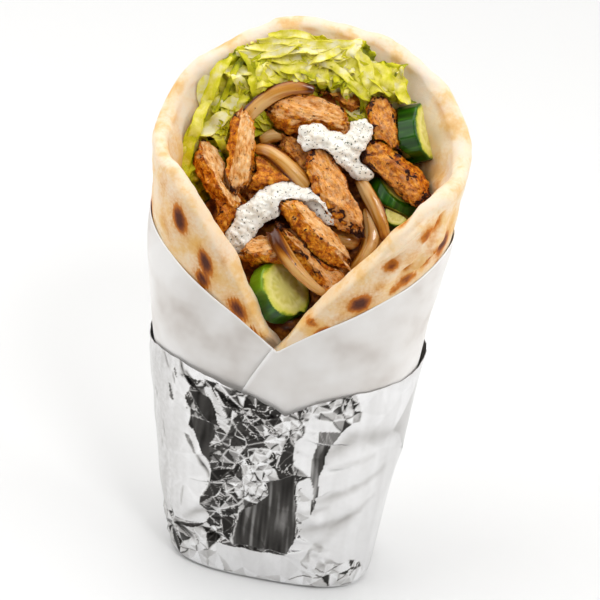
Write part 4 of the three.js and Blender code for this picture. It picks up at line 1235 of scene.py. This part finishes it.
# Bands that lie along a longer curve than their solids: places of the filling's frame.
LAID = {"onion_2": [(-19.7, 13.7, 2.4), (-14.7, 12.8, 4.6), (-9.6, 10.4, 5.2), (-4.7, 7.1, 4.8),
                    (-0.8, 3.7, 3.8), (3, 0.3, 2.8), (7.4, -2.2, 1.4)],
        "onion_5": [(-10.1, -12.6, 3.4), (-7.1, -16.3, 5), (-3.4, -20.5, 5.4), (0.9, -24.9, 5.2),
                    (5.8, -28.5, 4.4), (10.2, -30.8, 3.2), (13.3, -31.9, 1.6)]}
print("bands of onion:", len(FRIED))


# %% Straighten a band and lay it along a curve
def laid_along(path, local):
    """Puts a straightened band along a curve."""
    path = np.array(path, float)
    at = np.concatenate([[0], np.linalg.norm(np.diff(path, axis=0), axis=1).cumsum()])
    share = (local[:, 0] - local[:, 0].min()) / np.ptp(local[:, 0])
    spine, ahead, behind = (
        np.stack([through(list(zip(at / at[-1], path[:, k])), part) for k in range(3)], axis=-1)
        for part in (share, 0.98 * share + 0.02, 0.98 * share))
    run = ahead - behind
    run /= np.linalg.norm(run[:, :2], axis=1)[:, None]
    across = np.stack([-run[:, 1], run[:, 0], 0 * share], axis=-1)
    return moved(spine + local[:, 1:2] * across + local[:, 2:] * (0, 0, 1), SLOPE)


def straightened(points):
    """A band's points along it, across it and out of it once it is straight, and those directions."""
    middle, long = long_direction(points)
    axes = axes_with(long, OUT_OF_SLOPE) * np.sign(long[0])
    local = (points - middle) @ axes.T
    for side in (1, 2):
        local[:, side] -= np.polyval(np.polyfit(local[:, 0], local[:, side], 4), local[:, 0])
    return local, axes


# %% Fry the onion
bands = []
for k, (node, (fried, longer, end_char)) in enumerate(FRIED.items()):
    piece = copy_of(node, f"{node}_band", 0.33, smooth=3)
    points = points_of(piece)
    local, axes = straightened(points)
    half = np.percentile(np.abs(local), 99, axis=0)
    across, to_end = np.abs(local[:, 1]) / half[1], ease((np.abs(local[:, 0]) / half[0] - 0.75) / 0.25)
    bumps = 0.16 * rough(local, 6, 160 + k) + 0.06 * rough(local, (9, 0.9, 0.9), 170 + k)
    swell = 0.2 * ease((0.9 - across) / 0.8) - 0.05
    if node in LAID:
        put_points(piece, laid_along(LAID[node], local * (1, 1 + WIDER, 1)))
    else:
        wider = WIDER * local[:, 1:2] * axes[1] + longer * (local[:, :1] - local[:, 0].max()) * axes[0]
        put_points(piece, points + wider)
    put_points(piece, points_of(piece) + points_of(piece, "normal") * (bumps + swell)[:, None])
    uneven = rough(local, (9, 3, 3), 180 + k)
    brown = 0.85 * ease((across - 0.62 + 0.2 * uneven) / 0.4) + 0.5 * to_end + fried * (1 + 0.9 * uneven)
    brown = brown + end_char * ease((-local[:, 0] / half[0] - 0.1 + 0.3 * uneven) / 0.6)
    put_attribute(piece, "strip", local * MM + k * APART)
    put_attribute(piece, "char", np.clip(brown, 0, 1))
    bands.append((piece, node))
print("faces of all bands:", sum(len(piece.data.polygons) for piece, _ in bands))

# %% [markdown]
# ## Softened onion
#
# Fried onion is clear wet cells under a film of oil. Light goes deep into it, so it has much subsurface
# scattering, and the film is smooth, so it has a thin glossy coat. One ramp from straw to dark brown
# gives all bands a common range of colour, read at the char, which the veins shift up and down.

# %% Material: fried onion
paint, tree, shader = material(
    "fried onion", Roughness=0.22, Specular_IOR_Level=0.3, Coat_Weight=0.4, Coat_Roughness=0.08,
    Subsurface_Weight=0.4, Subsurface_Radius=(1.0, 0.6, 0.25), Subsurface_Scale=2 * MM)
strip = add(tree, "Attribute", attribute_name="strip").outputs["Vector"]
char = add(tree, "Attribute", attribute_name="char").outputs["Fac"]
stretched = add(tree, "Mapping", {"Vector": strip, "Scale": (60, 800, 800)})
veins = add(tree, "TexNoise", {"Vector": stretched.outputs[0], "Scale": 1.0, "Detail": 3})
shift = add(tree, "MapRange", {0: veins.outputs[0], 1: 0.35, 2: 0.65, 3: -0.2, 4: 0.2})
shade = add(tree, "Math", {0: char, 1: shift.outputs[0]}, operation="ADD")
flesh = add(tree, "ValToRGB", {0: shade.outputs[0]},
            [(0.0, "#DCB274"), (0.3, "#C88B3A"), (0.6, "#9E5A12"), (0.95, "#562404")])
spots = add(tree, "TexNoise", {"Vector": strip, "Scale": 1100, "Detail": 2})
fleck = add(tree, "MapRange", {0: spots.outputs[0], 1: 0.7, 2: 0.74}, clamp=True)
skin = add(tree, "MixRGB", {0: fleck.outputs[0], 1: flesh.outputs[0], 2: linear("#45200E")})
tree.links.new(skin.outputs[0], shader.inputs["Base Color"])
dent = add(tree, "Bump", {"Height": veins.outputs[0], "Strength": 0.35, "Distance": 0.4 * MM})
tree.links.new(dent.outputs[0], shader.inputs["Normal"])
for piece, node in bands:
    hand_over(piece, paint, "onion", node)

# %% [markdown]
# ## Cucumber
#
# Thick slices, cut across. The peel is dark, smooth and wet. The cut face has a firm pale ring and a watery
# heart with flat seeds that point to the middle. On one slice the peel is painted paler higher up the slope,
# as painted light on its lit side. Each slice knows its own axis, so its distance from that axis and the side
# it was cut on become attributes, and the seeds are low relief.

# %% Describe the slices
# Middle in the filling's frame, pitch and heading of the axis, radius, share of a full disc, a last tip
# of the finished slice in degrees about the slope's x and y, and whether it is a whole round slice.
CUCUMBER = {
    "cucumber_1": ((-4.8, -33.6, -1.4), 45, 43, 10.3, 0.84, (12, 10), True),
    "cucumber_2": ((32.4, 26.8, -1.2), 70, 15, 10.2, 0.8, (0, -6), False),
    "cucumber_3": ((28, 4.6, -3.6), 90, 74, 9.6, 0.5, (0, 0), False),
    "cucumber_4": ((29.4, -3.4, -2.4), 20, 60, 4.4, 0.6, (0, 0), False),
}
ROUNDER = 1.04  # how much wider than its solid a whole slice is
# The peel's painted light: it is painted paler from here up the slope.
PEEL_LIGHT_FROM, PEEL_LIGHT_OVER = -37, 8  # where on the slope the patch of paler peel starts, and how fast, in mm
SEEDS = 15  # in a slice, on three rings
print("slices of cucumber:", len(CUCUMBER))


# %% Seeds and a round outline
def seed_relief(x, y, draw):
    """Seeds round a slice's middle, as heights from 0 to 1. x and y are shares of its radius."""
    height = np.zeros(len(x))
    for s in range(SEEDS):
        angle = math.radians(360 / SEEDS * s + draw.uniform(-7, 7))
        reach = 0.43 + 0.13 * (s % 3 - 1) * draw.uniform(0.4, 1.0)
        dx, dy = x - reach * math.cos(angle), y - reach * math.sin(angle)
        outwards = (dx * math.cos(angle) + dy * math.sin(angle)) / 0.13
        sideways = (dy * math.cos(angle) - dx * math.sin(angle)) / 0.05
        height = np.maximum(height, np.clip(1.5 - np.hypot(outwards, sideways), 0, 1))
    return height


def rounded(local, radius):
    """Scales a slice's points about its axis so that its outline, a polygon, becomes a circle."""
    angle, reach = np.arctan2(local[:, 1], local[:, 0]), np.hypot(local[:, 0], local[:, 1])
    sectors = np.linspace(-np.pi, np.pi, 49)
    widest = [reach[(angle >= low) & (angle <= high)].max() for low, high in zip(sectors, sectors[1:])]
    outline = np.interp(angle, (sectors[1:] + sectors[:-1]) / 2, widest, period=2 * np.pi)
    return local * np.stack([radius / outline, radius / outline, np.ones(len(local))], axis=-1)


# %% Slice the cucumber
slices = []
for k, (node, (at, pitch, heading, radius, share, tip, whole)) in enumerate(CUCUMBER.items()):
    piece = copy_of(node, f"{node}_slice", 0.38, smooth=3)
    turn = Matrix.Rotation(math.radians(heading), 4, "Z") @ Matrix.Rotation(math.radians(pitch), 4, "Y")
    # The axis of a slice that is less than a full disc lies to one side of its middle.
    placed = SLOPE @ Matrix.Translation(at) @ turn @ Matrix.Translation((0.9 * radius * (1 - share), 0, 0))
    points, normals = points_of(piece), points_of(piece, "normal")
    local = moved(points, placed.inverted())
    if whole:
        radius *= ROUNDER
        local = rounded(local, radius)
        points = moved(local, placed)
        put_points(piece, points)
        normals = points_of(piece, "normal")
    turned = normals @ np.array(placed.to_3x3())
    cut = ease((np.abs(turned[:, 2]) - 0.6) / 0.2)
    out = np.hypot(local[:, 0], local[:, 1]) / radius
    outwards = (turned[:, 0] * local[:, 0] + turned[:, 1] * local[:, 1]) / (out * radius + 0.1)
    if whole:  # all but its cut faces is peel
        rind = ease((0.88 - np.abs(turned[:, 2])) / 0.16)
    else:
        rind = ease((out - 0.84) / 0.06) * ease((outwards - 0.3) / 0.25)
    seed = seed_relief(local[:, 0] / radius, local[:, 1] / radius, random.Random(70 + k)) * cut
    watery = ease((0.62 - out) / 0.12)
    relief = cut * (0.16 * seed - 0.14 * watery + 0.05 * rough(local, 1.2, 200 + k))
    centre = SLOPE @ Matrix.Translation(at)
    tipped = Matrix.Rotation(math.radians(tip[0]), 4, "X") @ Matrix.Rotation(math.radians(tip[1]), 4, "Y")
    put_points(piece, moved(points + normals * relief[:, None], centre @ tipped @ centre.inverted()))
    # Higher up the slope the whole slice's peel is painted paler: painted light on its lit side.
    painted_peel_light = ease((moved(points, SLOPE.inverted())[:, 1] - PEEL_LIGHT_FROM) / PEEL_LIGHT_OVER)
    put_attribute(piece, "slice", local * MM + k * APART)
    put_attribute(piece, "out", out)
    put_attribute(piece, "peel", rind)
    put_attribute(piece, "seed", seed)
    put_attribute(piece, "painted_peel_light", whole * painted_peel_light)
    slices.append((piece, node))
print("faces of all slices:", sum(len(piece.data.polygons) for piece, _ in slices))

# %% [markdown]
# ## Cut cucumber
#
# Cucumber flesh is watery near the seeds and firmer towards the peel, which is dark and waxy. On a cut
# face the colour changes with the distance from the axis, so it is a ramp over that distance, made
# uneven by noise. The peel has a ramp of its own, in streaks along the axis.

# %% Material: fresh cucumber
paint, tree, shader = material(
    "fresh cucumber", Roughness=0.3, Specular_IOR_Level=0.25, Coat_Weight=0.25, Coat_Roughness=0.08,
    Subsurface_Weight=0.15, Subsurface_Radius=(0.8, 1.0, 0.2), Subsurface_Scale=2 * MM)
place = add(tree, "Attribute", attribute_name="slice").outputs["Vector"]
out = add(tree, "Attribute", attribute_name="out").outputs["Fac"]
peel = add(tree, "Attribute", attribute_name="peel").outputs["Fac"]
seed = add(tree, "Attribute", attribute_name="seed").outputs["Fac"]
juice = add(tree, "TexNoise", {"Vector": place, "Scale": 420, "Detail": 3})
shift = add(tree, "MapRange", {0: juice.outputs[0], 1: 0.3, 2: 0.7, 3: -0.07, 4: 0.07})
reach = add(tree, "Math", {0: out, 1: shift.outputs[0]}, operation="ADD")
flesh = add(tree, "ValToRGB", {0: reach.outputs[0]},
            [(0.2, "#E2DA7E"), (0.5, "#D2CA62"), (0.62, "#E4DC8E"), (0.84, "#CCCA4C"), (0.93, "#748C10")])
seed_share = add(tree, "Math", {0: seed, 1: 0.5}, operation="MULTIPLY")
seeded = add(tree, "MixRGB", {0: seed_share.outputs[0], 1: flesh.outputs[0], 2: linear("#EBE298")})
lengthwise = add(tree, "Mapping", {"Vector": place, "Scale": (500, 500, 60)})
streaks = add(tree, "TexNoise", {"Vector": lengthwise.outputs[0], "Scale": 1.0, "Detail": 3})
green = add(tree, "ValToRGB", {0: streaks.outputs[0]},
            [(0.3, "#0D3200"), (0.55, "#1F5202"), (0.75, "#437A06")])
# Painted light on the peel: it is mixed towards a pale green where that attribute is high.
painted_peel_light = add(tree, "Attribute", attribute_name="painted_peel_light").outputs["Fac"]
peel_light_share = add(tree, "Math", {0: painted_peel_light, 1: 0.7}, operation="MULTIPLY")
rind = add(tree, "MixRGB", {0: peel_light_share.outputs[0], 1: green.outputs[0], 2: linear("#8CB41C")})
skin = add(tree, "MixRGB", {0: peel, 1: seeded.outputs[0], 2: rind.outputs[0]})
tree.links.new(skin.outputs[0], shader.inputs["Base Color"])
for piece, node in slices:
    hand_over(piece, paint, "cucumber", node)

# %% [markdown]
# ## Herb sauce
#
# Thick yogurt sauce, squeezed out in two lines. It keeps lumps, rounds them off, and lets light in, so
# its shadows stay pale. The lumps are the cells of a Voronoi pattern, which are round on top and meet in
# creases. Plain noise would give lumps too, but as sharp on top as between them.

# %% Squeeze out the sauce
def cells(points, size, seed):
    """Round lumps of a size in millimetres: high in the middle of a cell, low where cells meet."""
    shift = Vector((seed * 3.7, seed * 1.9, seed * 2.3))
    nearest = np.array([noise.voronoi(Vector(p) / size + shift)[0][0] for p in points])
    return 1 - 2.2 * nearest**2


SAUCES = ("sauce_upper", "sauce_lower")
runs = []
for k, node in enumerate(SAUCES):
    piece = copy_of(node, f"{node}_run", 0.36, smooth=5)
    on_slope = moved(points_of(piece), SLOPE.inverted())
    if node == "sauce_lower":  # its right end climbs over the gap between two strips
        end = ease((on_slope[:, 0] + 2) / 6)[:, None]
        centre = -3.6 - 0.5 * (on_slope[:, 0] - 1.6)
        aside = (on_slope[:, 1] - centre)[:, None]
        longer = 0.24 * (on_slope[:, 0] + 2)[:, None] * (1, -0.4, 0)
        on_slope = on_slope + end * (0.3 * aside * (0, 1, 0) + longer + (0.4, 1.6, 2.6))
    points = moved(on_slope, SLOPE)
    put_points(piece, points)
    lumps = 0.9 * rough(points, 4.6, 220 + k) + 0.34 * cells(points, 2.4, 224 + k)
    lumps = lumps + 0.2 * cells(points, 1.2, 226 + k) + 0.16 * rough(points, 0.9, 228 + k)
    put_points(piece, points + points_of(piece, "normal") * (lumps - 0.3)[:, None])
    modify(piece, "SMOOTH", factor=0.5, iterations=1)
    runs.append((piece, node))
print("lines of sauce:", len(runs))

# %% [markdown]
# ## Yogurt and herbs
#
# Strained yogurt scatters light so well that it hardly has a shadow, and its surface is wet. Chopped
# herbs and pepper could be hundreds of flakes, but at this size their colour is enough: they are the
# peaks of a fine noise, so they are sparse and uneven.

# %% Material: yogurt and herb sauce
paint, tree, shader = material(
    "yogurt and herb sauce", Roughness=0.3, Coat_Weight=0.25, Coat_Roughness=0.15,
    Subsurface_Weight=0.35, Subsurface_Radius=(1.0, 1.0, 0.9), Subsurface_Scale=2 * MM)
where = add(tree, "TexCoord").outputs["Object"]
soft = add(tree, "TexNoise", {"Vector": where, "Scale": 500, "Detail": 3})
cream = add(tree, "ValToRGB", {0: soft.outputs[0]}, [(0.35, "#EFE9DC"), (0.65, "#FBF8F0")])
chopped = add(tree, "TexNoise", {"Vector": where, "Scale": 1250, "Detail": 2})
speck = add(tree, "MapRange", {0: chopped.outputs[0], 1: 0.625, 2: 0.66}, clamp=True)
herbs = add(tree, "ValToRGB", {0: soft.outputs[0]}, [(0.4, "#2C2C1E"), (0.6, "#4D5636")])
skin = add(tree, "MixRGB", {0: speck.outputs[0], 1: cream.outputs[0], 2: herbs.outputs[0]})
tree.links.new(skin.outputs[0], shader.inputs["Base Color"])
for piece, node in runs:
    hand_over(piece, paint, "sauce", node)

# %% [markdown]
# ## Bed of filling
#
# Between the strips there are only scraps of meat and onion in their own juice. They could be strewn one
# by one, but they lie deep in shadow, so the bed's solid becomes one lumpy dark surface, coloured in
# patches of both under a thin wet film.

# %% Chop the bed and cook it
bed = copy_of("filling_bed", "filling_bed_scraps", 0.8, smooth=3)
points = points_of(bed)
lumps = 0.9 * rough(points, 5, 240) + 0.5 * rough(points, 2.2, 241)
put_points(bed, points + points_of(bed, "normal") * (lumps - 0.4)[:, None])

paint, tree, shader = material("scraps of meat and onion", Roughness=0.55, Specular_IOR_Level=0.3,
                               Coat_Weight=0.1, Coat_Roughness=0.25)
where = add(tree, "TexCoord").outputs["Object"]
scraps = add(tree, "TexNoise", {"Vector": where, "Scale": 260, "Detail": 4, "Roughness": 0.6})
tint = add(tree, "ValToRGB", {0: scraps.outputs[0]},
           [(0.3, "#3A1804"), (0.46, "#7A3E0C"), (0.58, "#B06A1C"), (0.75, "#CF9444")])
tree.links.new(tint.outputs[0], shader.inputs["Base Color"])
dent = add(tree, "Bump", {"Height": scraps.outputs[0], "Strength": 0.6, "Distance": 1 * MM})
tree.links.new(dent.outputs[0], shader.inputs["Normal"])
hand_over(bed, paint, "chicken", "filling_bed")

# %% [markdown]
# ## Lettuce
#
# Shredded iceberg: thin wavy ribbons, nearly white along the rib and yellow-green at the leaf's edge.
# The core is the crinkled green mass of the heap. Over it lie ribbons, each a narrow grid that is bent along
# a curve, arched and ruffled at its edges. The broad pale ones that catch the eye are listed one by one, from
# places on the slope, and the rest at random between them.

# %% Crinkle the core of the heap
core = copy_of("lettuce", "lettuce_core", 0.7, smooth=5)
points = points_of(core)
crinkles = 0.9 * rough(points, 4.5, 250) + 0.55 * rough(points, 2.1, 251) + 0.25 * rough(points, 1.1, 253)
put_points(core, points + points_of(core, "normal") * (crinkles - 0.7)[:, None])
hollow = ridges(core)
# Points that sink below their surroundings get a greener, darker tint: painted shade in the core's creases,
# while proud points get paler.
put_attribute(core, "tint", np.clip(0.72 - 0.4 * hollow + 0.3 * rough(points, 6, 252), 0, 1))
on_slope = moved(points_of(core), SLOPE.inverted())
heap = BVHTree.FromPolygons([Vector(p) for p in on_slope], [list(p.vertices) for p in core.data.polygons])
print("core of the heap:", len(core.data.polygons), "faces")

# %% Shape one ribbon
OVER_HEAP, HEAP_FOOT = 60, -12  # heights above the heap and at its foot, in the filling's frame


def heap_height(x, y):
    """The heap's height at a place of the filling's frame, or None outside it."""
    hit = heap.ray_cast(Vector((x, y, OVER_HEAP)), Vector((0, 0, -1)))[0]
    return None if hit is None or hit.z < HEAP_FOOT else hit.z


RIBBON_GRID = (20, 4)  # faces along a shred and across it


def ribbon(spine, width, lift, curl, waves, tint, draw):
    """One shred along points (x, y) of the slope, as a ruffled grid."""
    steps, across = RIBBON_GRID
    at = np.linspace(0, len(spine) - 1, steps + 1)
    keys = np.array(spine, float)
    x, y = (through(list(enumerate(keys[:, k])), at) for k in (0, 1))
    # The heap's height under the spine, with gaps bridged and steps smoothed.
    heights = np.array([heap_height(a, b) or np.nan for a, b in zip(x, y)])
    known = ~np.isnan(heights)
    heights = np.interp(np.arange(steps + 1), np.arange(steps + 1)[known], heights[known])
    heights = np.convolve(np.pad(heights, 2, mode="edge"), np.ones(5) / 5, mode="valid")
    heading = np.arctan2(np.gradient(y), np.gradient(x))
    phase = draw.uniform(0, 6)
    piece, u, v = grid("shred", steps, across)
    side, row = 2 * v - 1, u * steps
    px, py, pz, turn = (np.interp(row, range(steps + 1), c) for c in (x, y, heights, np.unwrap(heading)))
    # The ribbon narrows to both ends, sways from side to side, and is ruffled most at its edges.
    reach = side * width / 2 * (0.2 + 0.8 * np.sin(np.pi * np.clip(u, 0.02, 0.98)) ** 0.5)
    sway = 0.3 * width * np.sin(2 * np.pi * 0.8 * waves * u + 2 * phase)
    reach = reach + sway * (0.5 - np.abs(u - 0.5))
    ruffle = 0.16 * width * side * np.sin(2 * np.pi * waves * u + phase) + curl * side**2
    arch = lift * np.sin(np.pi * np.clip(u, 0, 1)) ** 0.8 + 0.5
    flat = np.stack([px - np.sin(turn) * reach, py + np.cos(turn) * reach, pz + arch + ruffle], -1)
    flat = flat + 0.35 * np.stack([rough(flat, 2.4, seed) for seed in (261, 262, 263)], -1)
    put_points(piece, moved(flat, SLOPE))
    shade = tint + 0.22 * np.abs(side) ** 2 + 0.2 * rough(flat, 4, 264)
    put_attribute(piece, "tint", np.clip(shade, 0, 1))
    return piece


# %% Lay the ribbons
# The broad ribbons: points on the slope in mm, width, lift over the heap and tint from white to green.
BROAD = [
    ([(-37.3, 42.1), (-37.3, 35.5), (-38.2, 28.6), (-38.3, 21.7)], 6.0, 2.4, 0.08),
    ([(-42.5, 16.2), (-38.6, 17.1), (-33.9, 19.5), (-28.9, 24.3)], 5.2, 2.2, 0.0),
    ([(-42, 1), (-41.5, 9), (-40, 17), (-38.5, 24)], 4.4, 3.0, 0.45),
    ([(-41.5, 8), (-40.5, 15), (-38.8, 22), (-36, 30)], 4.0, 3.4, 0.25),
    ([(-38.6, 23), (-37.4, 29), (-35.4, 35), (-31.5, 42)], 4.2, 2.4, 0.3),
    ([(-41.5, -2), (-40.5, 4), (-38, 9), (-34, 14)], 3.8, 2.6, 0.55),
    ([(-30, 43.5), (-19.2, 44.4), (-9, 44.6), (0.8, 46), (7.7, 48)], 3.6, 1.6, 0.1),
    ([(-27.2, 46), (-16.2, 47.4), (-6, 47.6), (3.8, 49)], 3.4, 2.2, 0.05),
    ([(-24, 48.5), (-13.2, 50.2), (-3, 50), (5, 51)], 3.2, 2.8, 0.12),
    ([(-20.4, 51.4), (-15, 52), (-9, 52.2), (-3.6, 51)], 2.8, 2.8, 0.2),
    ([(-25, 42), (-14.2, 47), (-6, 51.6)], 2.6, 2.9, 0.08),
    ([(-10, 43), (-1.2, 46), (6, 51)], 2.6, 2.6, 0.14),
    ([(-2.4, 43.4), (4.2, 37.8), (10.1, 31.9), (16.9, 27.1)], 4.6, 2.0, 0.12),
    ([(9.4, 51), (11.9, 46.8), (15.6, 40.5), (18.9, 33.8)], 4.6, 2.0, 0.2),
    ([(22.4, 42.6), (25.6, 39.4), (29.4, 35.2)], 4.2, 1.5, 0.22),
    ([(-33, 36.9), (-26.4, 38.5), (-21, 40.7)], 3.6, 1.6, 0.18),
    ([(-21, 40.7), (-16.1, 37.3), (-10.8, 36)], 3.0, 1.4, 0.25),
    ([(-9.9, 43.6), (-4, 40.3), (-0.3, 38.1)], 3.0, 1.6, 0.1),
    ([(-26, 31.8), (-20.1, 34.7), (-14.5, 38.2)], 3.4, 1.4, 0.3),
    ([(-40.8, 9.6), (-36.1, 11.7), (-30.8, 15.2)], 3.6, 0.8, 0.45),
    ([(9.7, 30.8), (12.2, 27), (13.6, 24)], 3.4, 0.6, 0.5),
]
LETTUCE_FRONT = [(-60, -4), (-38, 2), (-28, 15), (-16, 27), (0, 31), (16, 29), (30, 30), (60, 24)]
RANDOM_SHREDS = 150
LEAF_THICK = 0.3  # mm

draw = random.Random(31)
shreds = [ribbon(spine, width, lift, 0.5, 1.5, tint, draw) for spine, width, lift, tint in BROAD]
while len(shreds) < len(BROAD) + RANDOM_SHREDS:
    x = draw.uniform(-43, 27)
    y = draw.uniform(float(through(LETTUCE_FRONT, np.array(float(x)))), 48 - 9 * (x / 40) ** 2)
    heading = math.radians(draw.choice((draw.gauss(100, 30), draw.gauss(-20, 35))))
    length, bend = draw.uniform(9, 26), draw.uniform(-0.6, 0.6)
    turns = (heading - bend, heading, heading + bend)
    spine = [(x, y)]
    for turn in turns:
        spine.append((spine[-1][0] + length / 3 * math.cos(turn), spine[-1][1] + length / 3 * math.sin(turn)))
    if any(heap_height(*place) is None for place in spine):
        continue
    width, lift, curl = draw.uniform(2.0, 4.6), draw.uniform(0.2, 2.2), draw.uniform(-0.4, 0.5)
    waves, green = draw.uniform(1.0, 2.5), draw.random() ** 1.2
    tint = 0.1 + 0.58 * green - 0.14 * float(ease((y - 34) / 10))
    shreds.append(ribbon(spine, width, lift, curl, waves, tint, draw))
select_only(shreds[0])
for piece in shreds:
    piece.select_set(True)
bpy.ops.object.join()
leaves = bpy.context.object
leaves.name = "lettuce_shreds"
modify(leaves, "SOLIDIFY", thickness=LEAF_THICK * MM, offset=0.0)
print("shreds of lettuce:", len(shreds))

# %% [markdown]
# ## Iceberg leaf
#
# A lettuce leaf is thin and full of water: nearly white along the rib, yellow-green towards its edge.
# Light passes through it, so a little subsurface scattering lifts its shadows. One ramp holds the whole
# range, and the tint attribute says where on it each ribbon lies.

# %% Material: shredded lettuce
paint, tree, shader = material(
    "shredded iceberg lettuce", Roughness=0.45, Specular_IOR_Level=0.25,
    Subsurface_Weight=0.25, Subsurface_Radius=(1.0, 1.0, 0.6), Subsurface_Scale=1 * MM)
where = add(tree, "TexCoord").outputs["Object"]
tint = add(tree, "Attribute", attribute_name="tint").outputs["Fac"]
veins = add(tree, "TexNoise", {"Vector": where, "Scale": 420, "Detail": 4, "Roughness": 0.6})
shift = add(tree, "MapRange", {0: veins.outputs[0], 1: 0.3, 2: 0.7, 3: -0.2, 4: 0.2})
shade = add(tree, "Math", {0: tint, 1: shift.outputs[0]}, operation="ADD")
leaf = add(tree, "ValToRGB", {0: shade.outputs[0]},
           [(0.0, "#F3EAB8"), (0.25, "#EBDF68"), (0.5, "#D6CD1E"), (0.75, "#B2B20A"), (1.0, "#6C7004")])
tree.links.new(leaf.outputs[0], shader.inputs["Base Color"])
dent = add(tree, "Bump", {"Height": veins.outputs[0], "Strength": 0.35, "Distance": 0.5 * MM})
tree.links.new(dent.outputs[0], shader.inputs["Normal"])
hand_over(leaves, paint, "lettuce")
hand_over(core, paint, "lettuce", "lettuce")
